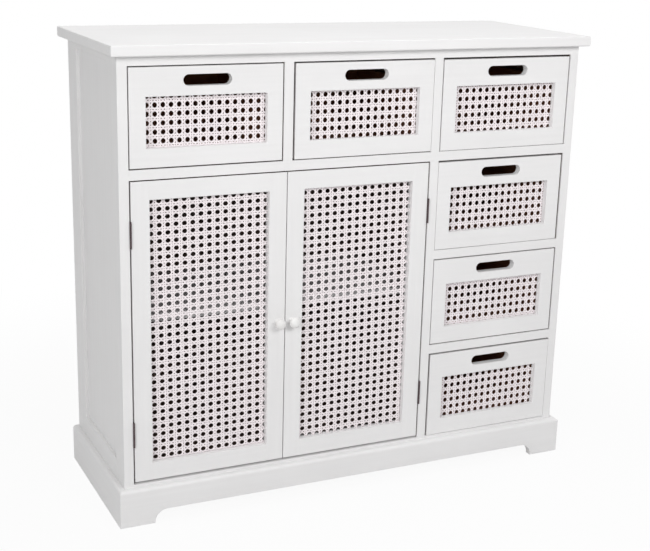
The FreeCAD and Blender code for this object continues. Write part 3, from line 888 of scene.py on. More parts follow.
@dataclass
class Carcass:
    """The decks, partitions, rails, shelf and back between the two sides."""

    finishes: Finishes
    eased: float = 0.15 * MM
    back_ease: float = 0.3 * MM
    fitting_ease: float = 0.6 * MM
    pin_strips: int = 3
    painted_lip: float = 3.0 * MM
    floor_lip: float = 14.0 * MM
    rail_depth: float = 35.0 * MM
    runner_width: float = 12.0 * MM
    pin_length: float = 16.0 * MM
    pin_radius: float = 2.5 * MM
    catch_width: float = 40.0 * MM
    magnet_width: float = 24.0 * MM
    magnet_height: float = 3.0 * MM
    magnet_depth: float = 2.0 * MM

    def lipped(self, board: Piece, grain: Axis, lip: float) -> Piece:
        """Eases a board and paints it along its front, leaving it bare behind a lip.

        Args:
            board: the board, still sharp.
            grain: the direction of its grain.
            lip: how far back the paint goes.

        Returns:
            The same board.
        """
        edge = min(point.co.y for point in board.data.vertices) + lip
        with Bench.shaping(board):
            Bench.slice(Axis.Y, edge)
        return Bench.two_tone(Bench.ease(board, self.eased), self.finishes.paint[grain],
                              self.finishes.stained[grain], lambda middle, normal: middle.y > edge)

    def boards(self) -> None:
        """Models the plain boards: the two decks, the front rail, the divider and the shelf."""
        for name, node, grain, lip in (
                ("floor_board", "bottom_deck", Axis.X, self.floor_lip),
                ("drawer_floor", "drawer_deck", Axis.X, self.painted_lip),
                ("front_rail", "front_top_rail", Axis.X, self.painted_lip),
                ("cupboard_divider", "lower_partition", Axis.Z, self.painted_lip)):
            board = self.lipped(Bench.block(name, *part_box(node)), grain, lip)
            Bench.deliver(board, CABINET, Slot.PAINT, node)
        shelf = Bench.ease(Bench.block("shelf_board", *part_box("cupboard_shelf")), self.eased)
        Bench.wear(shelf, self.finishes.paint[Axis.X])
        Bench.deliver(shelf, CABINET, Slot.PAINT, "cupboard_shelf")

    def notched_partition(self, side: Side) -> None:
        """Models a board between two top drawers, notched for the rail over its front.

        Args:
            side: which of the two boards it is.
        """
        node = f"{side.word}_upper_partition"
        low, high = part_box(node)
        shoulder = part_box("front_top_rail")[0].z
        notch = low.y + self.rail_depth
        board = Bench.block(f"{side.word}_drawer_divider", low, at(high, z=shoulder))
        with Bench.shaping(board):
            Bench.slice(Axis.Y, notch)
            Bench.pick(board, Element.FACE, lambda middle, normal: normal.z > FACING and middle.y > notch)
            Bench.pull(step(z=high.z - shoulder))
        Bench.deliver(self.lipped(board, Axis.Z, self.painted_lip), CABINET, Slot.PAINT, node)

    def column(self, thickness: float) -> None:
        """Models the two rails between the column's drawers and the battens behind them.

        Args:
            thickness: how thick the rails and the battens are.
        """
        low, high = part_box("column_rails")
        rise = step(z=high.z - low.z - thickness)
        rail = Bench.block("column_rail", low, at(high, z=low.z + thickness))
        rails = Bench.repeat("column_rail_pair", self.lipped(rail, Axis.X, self.painted_lip), rise)
        Bench.deliver(rails, CABINET, Slot.PAINT, "column_rails")
        low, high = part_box("drawer_runners")
        across = step(x=high.x - low.x - self.runner_width)
        batten = Bench.block("runner", low, at(high, x=low.x + self.runner_width, z=low.z + thickness))
        runners = Bench.repeat("runner_set", Bench.ease(batten, self.eased), across, rise, across + rise)
        Bench.wear(runners, self.finishes.wood[Axis.Y])
        Bench.deliver(runners, CABINET, Slot.WOOD, "drawer_runners")

    def shelf_pins(self) -> None:
        """Models the four pins under the shelf, each with rounded ends."""
        low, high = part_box("shelf_pins")
        start = Vector((low.x, low.y + self.pin_radius, (low.z + high.z) / 2))
        pin = Bench.rod("shelf_pin", start, start + step(x=self.pin_length), self.pin_radius)
        Bench.ease(pin, self.fitting_ease, self.pin_strips)
        across = step(x=high.x - low.x - self.pin_length)
        back = step(y=high.y - low.y - 2 * self.pin_radius)
        pins = Bench.repeat("shelf_pin_set", pin, across, back, across + back)
        Bench.deliver(Bench.wear(pins, self.finishes.steel), CABINET, Slot.STEEL, "shelf_pins")

    def catches(self) -> None:
        """Models the two magnetic catches, each with a slot for its magnet."""
        low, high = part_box("door_catches")
        catch = Bench.block("catch", low, at(high, x=low.x + self.catch_width))
        middle = Vector((low.x + self.catch_width / 2, low.y, (low.z + high.z) / 2))
        reach = Vector((self.magnet_width / 2, self.magnet_depth, self.magnet_height / 2))
        Bench.cut(catch, Bench.block("magnet_slot", middle - reach, middle + reach))
        across = step(x=high.x - low.x - self.catch_width)
        pair = Bench.repeat("catch_pair", Bench.ease(catch, self.fitting_ease), across)
        Bench.deliver(Bench.wear(pair, self.finishes.plastic), CABINET, Slot.PLASTIC, "door_catches")

    def back(self) -> None:
        """Models the sheet of ply behind, stained where it looks into the carcass."""
        sheet = Bench.ease(Bench.block("back_board", *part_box("back_panel")), self.back_ease)
        Bench.two_tone(sheet, self.finishes.stained[Axis.X], self.finishes.ply,
                       lambda middle, normal: normal.y > FACING)
        Bench.deliver(sheet, CABINET, Slot.WOOD, "back_panel")

    def build(self) -> None:
        """Models everything between the sides."""
        self.boards()
        for side in Side:
            self.notched_partition(side)
        low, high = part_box("lower_partition")
        self.column(high.x - low.x)
        self.shelf_pins()
        self.catches()
        self.back()


@dataclass
class Skirting:
    """The skirt round the foot, with bracket feet and a long arch at the front."""

    finishes: Finishes
    foot_width: float = 55.0 * MM
    arch_height: float = 21.0 * MM
    arch_radius: float = 20.0 * MM
    arch_strips: int = 10
    edge_radius: float = 5.0 * MM
    edge_strips: int = 6
    eased: float = 0.7 * MM
    joint: float = 0.1 * MM

    def front(self) -> None:
        """Models the front board: a band with two feet drawn down from its ends."""
        low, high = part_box("front_skirt")
        arch = low.z + self.arch_height
        left = low.x + self.foot_width
        right = high.x - self.foot_width
        below = high.z - self.edge_radius
        board = Bench.block("front_plinth", at(low, z=arch), high)
        with Bench.shaping(board):
            Bench.slice(Axis.X, left, right)
            Bench.pick(board, Element.FACE,
                       lambda middle, normal: normal.z < -FACING and not left < middle.x < right)
            Bench.pull(step(z=-self.arch_height))
            Bench.pick(board, Element.EDGE, lambda start, end: abs(start.z - arch) + abs(end.z - arch) < MM
                       and abs(start.x - end.x) < MM
                       and min(abs(start.x - left), abs(start.x - right)) < MM)
            Bench.round_edges(self.arch_radius, self.arch_strips)
            Bench.pick(board, Element.EDGE, lambda start, end: min(start.z, end.z) > high.z - MM
                       and min(start.y, end.y) < high.y - MM)
            Bench.round_edges(self.edge_radius, self.edge_strips)
            Bench.pick(board, Element.EDGE, lambda start, end: max(start.y, end.y) < low.y + self.joint
                       and min(start.z, end.z) < below - MM)
            Bench.round_edges(self.eased)
        Bench.wear(Bench.ease(board, self.joint), self.finishes.paint[Axis.X])
        Bench.deliver(board, CABINET, Slot.PAINT, "front_skirt")

    def end(self, side: Side) -> None:
        """Models the board along one side, rounded along its outer top edge.

        Args:
            side: the side that it is on.
        """
        low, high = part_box(f"{side.word}_skirt")
        outer = side.outer(low, high)
        board = Bench.block(f"{side.word}_plinth", low, high)
        with Bench.shaping(board):
            Bench.pick(board, Element.EDGE, lambda start, end: min(start.z, end.z) > high.z - MM
                       and abs(start.x - outer) + abs(end.x - outer) < MM)
            Bench.round_edges(self.edge_radius, self.edge_strips)
        Bench.wear(Bench.ease(board, self.joint), self.finishes.paint[Axis.Y])
        Bench.deliver(board, CABINET, Slot.PAINT, f"{side.word}_skirt")

    def build(self) -> None:
        """Models the three boards."""
        self.front()
        for side in Side:
            self.end(side)


@dataclass
class CaneCell:
    """One hole of the six-way weave, with the strands that pass by it."""

    finishes: Finishes
    pitch_x: float
    pitch_z: float
    strand: float = 2.32 * MM
    slant: float = 1.95 * MM
    pair_gap: float = 0.9 * MM
    thickness: float = 0.55 * MM
    crown: float = 0.56

    @property
    def offset(self) -> float:
        """How far a strand lies from the middle of its pair."""
        return (self.strand + self.pair_gap) / 2

    def ribbon(self, name: str, length: float, width: float, levels: list[tuple[float, float]]) -> Piece:
        """Models an upright strand round the origin, crowned in front and waved over its neighbours.

        Args:
            name: the strand's name.
            length: its length along z.
            width: its width along x.
            levels: heights along z and how far forward the strand lies there.

        Returns:
            The strand, open at both ends.
        """
        half = Vector((width / 2, self.thickness / 2, length / 2))
        strand = Bench.block(name, -half, half)
        with Bench.shaping(strand):
            Bench.slice(Axis.Z, *[height for height, _ in levels if abs(height) < half.z - HAIR])
            Bench.pick(strand, Element.VERT, lambda point: point.y < 0)
            bpy.ops.transform.resize(value=(self.crown, 1.0, 1.0), center_override=(0.0, 0.0, 0.0))
            for height, level in levels:
                Bench.pick(strand, Element.VERT, lambda point: abs(point.z - height) < HAIR)
                bpy.ops.transform.translate(value=(0.0, -level, 0.0))
            Bench.pick(strand, Element.FACE, lambda middle, normal: abs(normal.z) > FACING)
            bpy.ops.mesh.delete(type="FACE")
        return strand

    def turned(self, piece: Piece, angle: float, place: Vector) -> Piece:
        """Turns a strand about y, seen from the front, and moves it into its place.

        Args:
            piece: the strand, round the origin.
            angle: the turn in radians.
            place: where its middle goes.

        Returns:
            The same strand.
        """
        Bench.hold(piece)
        piece.rotation_euler = (0.0, angle, 0.0)
        piece.location = place
        return Bench.named(piece.name)

    def square_strands(self) -> list[Piece]:
        """Models the two upright strands beside the hole and the two across it.

        Returns:
            The four strands.
        """
        wave = self.thickness / 2
        strands = []
        for sign in (-1, 1):
            for kind, run, apart, angle, over, axis in (
                    (Strand.UPRIGHT, self.pitch_z, self.pitch_x, 0.0, sign, Axis.X),
                    (Strand.ACROSS, self.pitch_x, self.pitch_z, math.pi / 2, -sign, Axis.Z)):
                near = run / 2 - self.offset
                levels = [(-near, -over * wave), (near, over * wave)]
                strand = self.ribbon(f"{kind.name}_{sign}", run, self.strand, levels)
                Bench.wear(strand, self.finishes.cane[kind])
                place = axis.vector * (sign * (apart / 2 - self.offset))
                strands.append(self.turned(strand, angle, place))
        return strands

    def slanting_strands(self) -> list[Piece]:
        """Models the ends of the slanting strands that cut across the hole's four corners.

        Returns:
            The four strands.
        """
        length = math.hypot(self.pitch_x, self.pitch_z) / 2
        lean = math.atan2(self.pitch_x, self.pitch_z)
        strands = []
        for kind, angle, front in ((Strand.RISING, lean, 1), (Strand.FALLING, -lean, -1)):
            for end in (-1, 1):
                level = front * end * self.thickness
                levels = [(-length / 2, level), (length / 2, -level)]
                strand = self.ribbon(f"{kind.name}_{end}", length, self.slant, levels)
                Bench.wear(strand, self.finishes.cane[kind])
                across = -end * math.copysign(self.pitch_x / 4, angle)
                strands.append(self.turned(strand, angle, step(x=across, z=end * self.pitch_z / 4)))
        return strands

    def build(self) -> Piece:
        """Models the cell round the origin, open where it joins its neighbours."""
        return Bench.join("cane_cell", self.square_strands() + self.slanting_strands())


@dataclass
class Weave:
    """How the cane lies in one panel: its first hole from the window's corner and its turn in degrees."""

    first_x: float
    first_z: float
    turn: float


@dataclass
class CaneRoll:
    """A roll of woven cane, from which sheets are cut that lap behind their windows' edges."""

    cell: CaneCell
    rebate_room: float = 0.5 * MM
    edge_room: float = 0.3 * MM
    spare: int = 3
    weld: float = 0.02 * MM
    slack: float = 0.55 * MM
    slack_size: float = 14.0 * MM
    crease: float = math.radians(55.0)

    def __post_init__(self) -> None:
        """Models the cell that every sheet repeats."""
        self.pattern = self.cell.build()

    def sheet(self, name: str, node: str, body: str, rebate: float, weave: Weave) -> None:
        """Repeats the cell over a sheet, turns it a little and trims it.

        Args:
            name: the sheet's name.
            node: the net that it stands for.
            body: the body that it rides on.
            rebate: the width of the rebate that it lies in.
            weave: how the cane lies in its window.
        """
        low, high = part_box(node)
        lap = rebate - self.rebate_room
        first_x = low.x + lap + weave.first_x
        first_z = low.z + lap + weave.first_z
        start = Vector((first_x - self.spare * self.cell.pitch_x, (low.y + high.y) / 2,
                        first_z - self.spare * self.cell.pitch_z))
        sheet = Bench.copy(self.pattern, name, start)
        for axis, pitch, size in ((Axis.X, self.cell.pitch_x, high.x - low.x),
                                  (Axis.Z, self.cell.pitch_z, high.z - low.z)):
            Bench.modify(sheet, "ARRAY", {
                "use_relative_offset": False, "use_constant_offset": True,
                "constant_offset_displace": axis.vector * pitch,
                "count": math.ceil(size / pitch) + 2 * self.spare,
                "use_merge_vertices": True, "merge_threshold": self.weld})
        clouds = bpy.data.textures.new(f"{name}_slack", "CLOUDS")
        clouds.noise_scale = self.slack_size
        for direction in ("X", "Z"):
            Bench.modify(sheet, "DISPLACE", {"texture": clouds, "texture_coords": "LOCAL",
                                             "direction": direction, "strength": self.slack})
        with Bench.shaping(sheet):
            bpy.ops.mesh.select_all(action="SELECT")
            bpy.ops.transform.rotate(value=math.radians(weave.turn), orient_axis="Y",
                                     center_override=(low + high) / 2)
            Bench.trim(Axis.X, low.x + self.edge_room, high.x - self.edge_room)
            Bench.trim(Axis.Z, low.z + self.edge_room, high.z - self.edge_room)
        bpy.ops.object.shade_smooth_by_angle(angle=self.crease)
        Bench.deliver(sheet, body, Slot.CANE, node)

    def put_away(self) -> None:
        """Removes the cell, which is no piece of the sideboard."""
        bpy.data.objects.remove(self.pattern)


@dataclass
class Knob:
    """A small turned knob, drawn out ring by ring along its profile of widths and depths."""

    side: Side
    finishes: Finishes
    crease: float = math.radians(60.0)
    profile: tuple[tuple[float, float], ...] = (
        (0.66, 0.0), (0.62, 0.05), (0.53, 0.14), (0.48, 0.26), (0.50, 0.36), (0.62, 0.45), (0.82, 0.50),
        (0.95, 0.545), (1.0, 0.61), (0.985, 0.69), (0.92, 0.78), (0.78, 0.87), (0.56, 0.945), (0.28, 0.988),
        (0.08, 1.0))

    def build(self) -> None:
        """Models a door's knob."""
        word = self.side.word
        low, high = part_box(f"{word}_door_knob")
        radius = (high.x - low.x) / 2
        reach = high.y - low.y
        axis = Vector(((low.x + high.x) / 2, 0.0, (low.z + high.z) / 2))
        width, depth = self.profile[0]
        Bench.hold()
        bpy.ops.mesh.primitive_circle_add(
            vertices=ROUND_SIDES, radius=width * radius, fill_type="NGON", rotation=(math.pi / 2, 0.0, 0.0),
            location=at(axis, y=high.y - depth * reach))
        knob = Bench.named(f"{word}_turned_knob")
        with Bench.shaping(knob):
            bpy.ops.mesh.select_all(action="SELECT")
            for wider, deeper in self.profile[1:]:
                Bench.pull(step(y=(depth - deeper) * reach))
                share = wider / width
                bpy.ops.transform.resize(value=(share, 1.0, share),
                                         center_override=at(axis, y=high.y - deeper * reach))
                width, depth = wider, deeper
            bpy.ops.mesh.select_all(action="SELECT")
            bpy.ops.mesh.normals_make_consistent(inside=False)
        Bench.modify(knob, "SUBSURF", {"levels": 1, "render_levels": 1})
        bpy.ops.object.shade_smooth_by_angle(angle=self.crease)
        Bench.wear(knob, self.finishes.enamel)
        Bench.deliver(knob, f"{word}_door", Slot.PAINT, f"{word}_door_knob")


@dataclass
class ButtHinge:
    """The two butt hinges of a door, each of two leaves that share a pin."""

    side: Side
    finishes: Finishes
    length: float = 40.0 * MM
    gap: float = 2.4 * MM
    leaf: float = 1.0 * MM
    leaf_width: float = 15.0 * MM
    leaf_ease: float = 0.15 * MM
    knuckle: float = 1.35 * MM
    knuckle_gap: float = 0.3 * MM
    knuckle_ease: float = 0.25 * MM
    neck_bury: float = 0.2 * MM
    neck_ease: float = 0.1 * MM
    pin: float = 0.75 * MM
    pin_ease: float = 0.3 * MM
    bore_room: float = 0.05 * MM
    bore_overcut: float = 1.0 * MM
    screw: float = 2.3 * MM
    screw_proud: float = 0.12 * MM
    screw_ease: float = 0.05 * MM
    screw_setback: float = 0.55
    screw_heights: tuple[float, float] = (0.2, 0.8)
    slot_depth: float = 0.36 * MM
    slot_reach: float = 0.85
    slot_half: float = 0.35 * MM

    def screw_head(self, middle: Vector, outward: float) -> Piece:
        """Models a slotted countersunk head that lies almost flush in a leaf.

        Args:
            middle: the head's middle on the leaf's face.
            outward: the sign of x that the face looks to.

        Returns:
            The head.
        """
        head = Bench.rod("screw_head", middle - step(x=outward * self.leaf / 2),
                         middle + step(x=outward * self.screw_proud), self.screw)
        reach = Vector((self.slot_depth, self.screw * self.slot_reach, self.slot_half))
        Bench.cut(head, Bench.block("screw_slot", middle - reach, middle + reach))
        return Bench.ease(head, self.screw_ease)

    def leaf_piece(self, name: str, axis: Vector, plate_x: float, outward: float,
                   turns: tuple[int, ...]) -> Piece:
        """Models one leaf of the lower hinge.

        Args:
            name: the leaf's name.
            axis: the pin's lower end.
            plate_x: the low side of the plate.
            outward: the sign of x that the plate's open face looks to.
            turns: which of the three knuckles are this leaf's.

        Returns:
            The leaf with its screws.
        """
        room = self.knuckle + self.knuckle_gap
        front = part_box("bottom_deck")[0].y
        plate_low = Vector((plate_x, axis.y + room, axis.z))
        plate_high = Vector((plate_x + self.leaf, front + self.leaf_width, axis.z + self.length))
        parts = [Bench.ease(Bench.block(name, plate_low, plate_high), self.leaf_ease)]
        turn_length = (self.length - 2 * self.knuckle_gap) / 3
        for turn in turns:
            start = at(axis, z=axis.z + turn * (turn_length + self.knuckle_gap))
            end = start + step(z=turn_length)
            neck_high = Vector((plate_x + self.leaf, plate_low.y + self.neck_bury, end.z))
            neck = Bench.block("knuckle_neck", at(start, x=plate_x), neck_high)
            parts.append(Bench.ease(neck, self.neck_ease))
            barrel = Bench.rod("knuckle", start, end, self.knuckle, ROUND_SIDES)
            beyond = step(z=self.bore_overcut)
            bore = Bench.rod("knuckle_bore", start - beyond, end + beyond, self.pin + self.bore_room)
            Bench.cut(barrel, bore)
            parts.append(Bench.ease(barrel, self.knuckle_ease))
        face = plate_x + (self.leaf if outward > 0 else 0.0)
        deep = front + self.leaf_width * self.screw_setback
        for share in self.screw_heights:
            parts.append(self.screw_head(Vector((face, deep, axis.z + share * self.length)), outward))
        return Bench.join(name, parts)

    def build(self) -> None:
        """Models both hinges."""
        word = self.side.word
        door = f"{word}_door"
        low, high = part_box(f"{word}_hinge_pins")
        axis = Vector(((low.x + high.x) / 2, (low.y + high.y) / 2, low.z))
        rise = step(z=high.z - low.z - self.length)
        towards_door = -self.side.value
        plates = (axis.x - self.gap / 2, axis.x + self.gap / 2 - self.leaf)
        post_x, door_x = plates if self.side is Side.LEFT else reversed(plates)
        for name, plate_x, outward, turns, body in (("frame", post_x, towards_door, (0, 2), CABINET),
                                                    ("door", door_x, -towards_door, (1,), door)):
            leaf = self.leaf_piece(f"{word}_{name}_leaf", axis, plate_x, outward, turns)
            leaves = Bench.wear(Bench.repeat(f"{word}_{name}_leaf_pair", leaf, rise), self.finishes.bronze)
            Bench.deliver(leaves, body, Slot.STEEL, f"{word}_hinge_{name}_leaves")
        pin = Bench.rod(f"{word}_pin", axis, axis + step(z=self.length), self.pin)
        pins = Bench.repeat(f"{word}_pin_pair", Bench.ease(pin, self.pin_ease), rise)
        Bench.deliver(Bench.wear(pins, self.finishes.bronze), door, Slot.STEEL, f"{word}_hinge_pins")


@dataclass
class Door:
    """A framed door, rebated behind for the cane and the beads that hold it."""

    side: Side
    finishes: Finishes
    cane: CaneRoll
    member: float = 28.0 * MM
    rebate_width: float = 8.0 * MM
    rebate_depth: float = 8.0 * MM
    rounded: float = 0.5 * MM
    joint: float = 0.12 * MM
    painted_lip: float = 1.5 * MM
    bead_ease: float = 1.2 * MM
    bead_strips: int = 3
    strike_hole: float = 2.2 * MM
    strike_ease: float = 0.2 * MM

    @property
    def body(self) -> str:
        """The body that the door's pieces ride on."""
        return f"{self.side.word}_door"

    def rebated(self, name: str, low: Vector, high: Vector, cut_low: Vector, cut_high: Vector) -> Piece:
        """Models a stile or rail: a front layer, then the back drawn out round the rebate.

        Args:
            name: the member's name.
            low: its lowest corner.
            high: its highest corner.
            cut_low: the rebate's lowest corner.
            cut_high: the rebate's highest corner.

        Returns:
            The member.
        """
        window = step(x=self.rebate_width, z=self.rebate_width)
        inset = step(x=self.member - self.rebate_width, z=self.member - self.rebate_width)
        frames = ((cut_low - inset, cut_high + inset), (cut_low + window, cut_high - window))
        piece = Bench.block(name, low, at(high, y=high.y - self.rebate_depth))
        with Bench.shaping(piece):
            Bench.slice(Axis.X, *between(low.x, high.x, cut_low.x, cut_high.x))
            Bench.slice(Axis.Z, *between(low.z, high.z, cut_low.z, cut_high.z))
            Bench.pick(piece, Element.FACE, lambda middle, normal: normal.y > FACING and not (
                cut_low.x < middle.x < cut_high.x and cut_low.z < middle.z < cut_high.z))
            Bench.pull(step(y=self.rebate_depth))
            Bench.slice(Axis.Y, low.y + self.painted_lip)
            Bench.slice(Axis.Z, *between(low.z, high.z, cut_low.z + window.z, cut_high.z - window.z))
            Bench.pick(piece, Element.EDGE, lambda start, end: max(start.y, end.y) < low.y + NEAR
                       and any(self.borders(start, end, *corners) for corners in frames))
            Bench.round_edges(self.rounded)
        return Bench.ease(piece, self.joint)

    @staticmethod
    def borders(start: Vector, end: Vector, low: Vector, high: Vector) -> bool:
        """Tells whether an edge runs along a side of an upright rectangle.

        Args:
            start: one end of the edge.
            end: its other end.
            low: the rectangle's low corner.
            high: its high corner.

        Returns:
            Whether the edge lies on the rectangle's outline.
        """
        middle = (start + end) / 2
        beside = low.z - NEAR < middle.z < high.z + NEAR
        within = low.x - NEAR < middle.x < high.x + NEAR
        on_side = any(abs(start.x - x) + abs(end.x - x) < NEAR for x in (low.x, high.x))
        on_end = any(abs(start.z - z) + abs(end.z - z) < NEAR for z in (low.z, high.z))
        return (on_side and beside) or (on_end and within)

    def frame(self) -> None:
        """Models the stiles and the rails, painted apart from the door's top edge behind a lip."""
        word = self.side.word
        low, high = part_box(f"{word}_door_stiles")
        inset = step(x=self.member - self.rebate_width, z=self.member - self.rebate_width)
        rail_low = low + step(x=self.member)
        rail_high = high - step(x=self.member)
        stiles = ((low, at(high, x=low.x + self.member)), (at(low, x=high.x - self.member), high))
        rails = ((rail_low, at(rail_high, z=low.z + self.member)),
                 (at(rail_low, z=high.z - self.member), rail_high))
        top = high.z - MM
        lip = low.y + self.painted_lip
        for name, node, grain, corners in (("stile_pair", "door_stiles", Axis.Z, stiles),
                                           ("door_rail_pair", "door_rails", Axis.X, rails)):
            members = [self.rebated(f"{word}_{name}_{number}", *pair, low + inset, high - inset)
                       for number, pair in enumerate(corners)]
            pieces = Bench.join(f"{word}_{name}", members)
            Bench.two_tone(pieces, self.finishes.paint[grain], self.finishes.stained[grain],
                           lambda middle, normal: middle.z > top and middle.y > lip)
            Bench.deliver(pieces, self.body, Slot.PAINT, f"{word}_{node}")

    def beads(self) -> None:
        """Models the four strips behind the cane, rounded towards the cupboard."""
        word = self.side.word
        low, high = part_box(f"{word}_door_beads")
        width = self.rebate_width
        across = Bench.block(f"{word}_bead", low, at(high, z=low.z + width))
        upright_high = at(high, x=low.x + width, z=high.z - width)
        upright = Bench.block(f"{word}_bead_side", low + step(z=width), upright_high)
        strips = [Bench.ease(strip, self.bead_ease, self.bead_strips) for strip in (across, upright)]
        strips.append(Bench.copy(across, f"{word}_bead_upper", step(z=high.z - low.z - width)))
        strips.append(Bench.copy(upright, f"{word}_bead_far", step(x=high.x - low.x - width)))
        beads = Bench.wear(Bench.join(f"{word}_bead_set", strips), self.finishes.paint[Axis.Z])
        Bench.deliver(beads, self.body, Slot.PAINT, f"{word}_door_beads")

    def strike(self) -> None:
        """Models the plate that the catch's magnet takes, dimpled for its screw."""
        node = f"{self.side.word}_door_strike"
        low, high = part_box(node)
        middle = (low + high) / 2
        plate = Bench.block(f"{self.side.word}_strike_plate", low, high)
        Bench.cut(plate, Bench.rod("strike_hole", middle, middle + step(y=high.y - low.y), self.strike_hole))
        Bench.wear(Bench.ease(plate, self.strike_ease), self.finishes.steel)
        Bench.deliver(plate, self.body, Slot.STEEL, node)

    def build(self, weave: Weave) -> None:
        """Models the door with its cane, knob and hinges.

        Args:
            weave: how the cane lies in this door.
        """
        self.frame()
        self.beads()
        self.strike()
        self.cane.sheet(f"{self.body}_weave", f"{self.body}_cane", self.body, self.rebate_width, weave)
        Knob(self.side, self.finishes).build()
        ButtHinge(self.side, self.finishes).build()


@dataclass
class Drawer:
    """A drawer: a front with a cane-filled window and a finger slot, and a plain wooden box."""

    name: str
    finishes: Finishes
    cane: CaneRoll
    margin: float = 24.6 * MM
    bottom_margin: float = 27.8 * MM
    top_margin: float = 41.7 * MM
    rebate_width: float = 6.0 * MM
    rebate_depth: float = 2.8 * MM
    slot_width: float = 74.0 * MM
    slot_height: float = 16.5 * MM
    slot_drop: float = 19.8 * MM
    slot_roundness: float = 0.999
    slot_strips: int = 9
    overcut: float = 5.0 * MM
    wall: float = 10.0 * MM
    bottom: float = 4.0 * MM
    bottom_lift: float = 6.0 * MM
    bottom_ease: float = 0.3 * MM
    edge_radius: float = 1.1 * MM
    eased: float = 0.8 * MM

    def front(self) -> None:
        """Models the front: a board with its window, rebate and finger slot cut out."""
        low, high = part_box(f"{self.name}_front")
        board = Bench.block(f"{self.name}_face", low, high)
        with Bench.shaping(board):
            Bench.pick(board, Element.EDGE, lambda start, end: max(start.y, end.y) < low.y + MM)
            Bench.round_edges(self.edge_radius)
        through = step(y=self.overcut)
        window_low = low + step(x=self.margin, z=self.bottom_margin)
        window_high = high - step(x=self.margin, z=self.top_margin)
        Bench.cut(board, Bench.block("window", window_low - through, window_high + through))
        lap = step(x=self.rebate_width, z=self.rebate_width)
        rebate_low = at(window_low - lap, y=high.y - self.rebate_depth)
        Bench.cut(board, Bench.block("rebate", rebate_low, window_high + lap + through))
        middle = Vector(((low.x + high.x) / 2, 0.0, high.z - self.slot_drop))
        half = step(x=self.slot_width / 2, z=self.slot_height / 2)
        slot = Bench.block("finger_slot", at(middle - half, y=low.y - self.overcut),
                           at(middle + half, y=high.y + self.overcut))
        with Bench.shaping(slot):
            Bench.pick(slot, Element.EDGE, lambda start, end: abs(start.y - end.y) > MM)
            Bench.round_edges(self.slot_height / 2 * self.slot_roundness, self.slot_strips)
        Bench.cut(board, slot)
        Bench.wear(Bench.ease(board, self.eased), self.finishes.paint[Axis.X])
        Bench.deliver(board, self.name, Slot.PAINT, f"{self.name}_front")

    def box(self) -> None:
        """Models the box behind the front: two sides, a bottom and a back."""
        low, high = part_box(f"{self.name}_box")
        floor_low = low + step(x=self.wall, z=self.bottom_lift)
        floor_high = at(high, x=high.x - self.wall, z=floor_low.z + self.bottom)
        back_low = Vector((floor_low.x, high.y - self.wall, floor_high.z))
        side = Bench.ease(Bench.block("drawer_side", low, at(high, x=low.x + self.wall)), self.eased)
        twin = Bench.copy(side, "drawer_side_right", step(x=high.x - low.x - self.wall))
        floor = Bench.ease(Bench.block("drawer_bottom", floor_low, floor_high), self.bottom_ease)
        back = Bench.ease(Bench.block("drawer_back", back_low, at(high, x=floor_high.x)), self.eased)
        for piece, grain in ((side, Axis.Y), (twin, Axis.Y), (floor, Axis.X), (back, Axis.X)):
            Bench.wear(piece, self.finishes.wood[grain])
        tray = Bench.join(f"{self.name}_tray", (side, twin, floor, back))
        Bench.deliver(tray, self.name, Slot.WOOD, f"{self.name}_box")

    def build(self, weave: Weave) -> None:
        """Models the drawer with its cane.

        Args:
            weave: how the cane lies in this drawer.
        """
        self.front()
        self.box()
        self.cane.sheet(f"{self.name}_weave", f"{self.name}_cane", self.name, self.rebate_width, weave)


@dataclass(frozen=True)
class Lamp:
    """A soft box that looks at a point of the sideboard."""

    name: str
    place: Triple
    target: Triple
    width: float
    height: float
    watts: float

    def hang(self) -> None:
        """Adds the lamp."""
        light = bpy.data.lights.new(self.name, "AREA")
        light.shape = "RECTANGLE"
        light.size = self.width
        light.size_y = self.height
        light.energy = self.watts
        lamp = bpy.data.objects.new(self.name, light)
        lamp.location = self.place
        lamp.visible_camera = False
        lamp.visible_glossy = False
        aim = Vector(self.target) - Vector(self.place)
        lamp.rotation_euler = aim.to_track_quat("-Z", "Y").to_euler()
        bpy.context.scene.collection.objects.link(lamp)


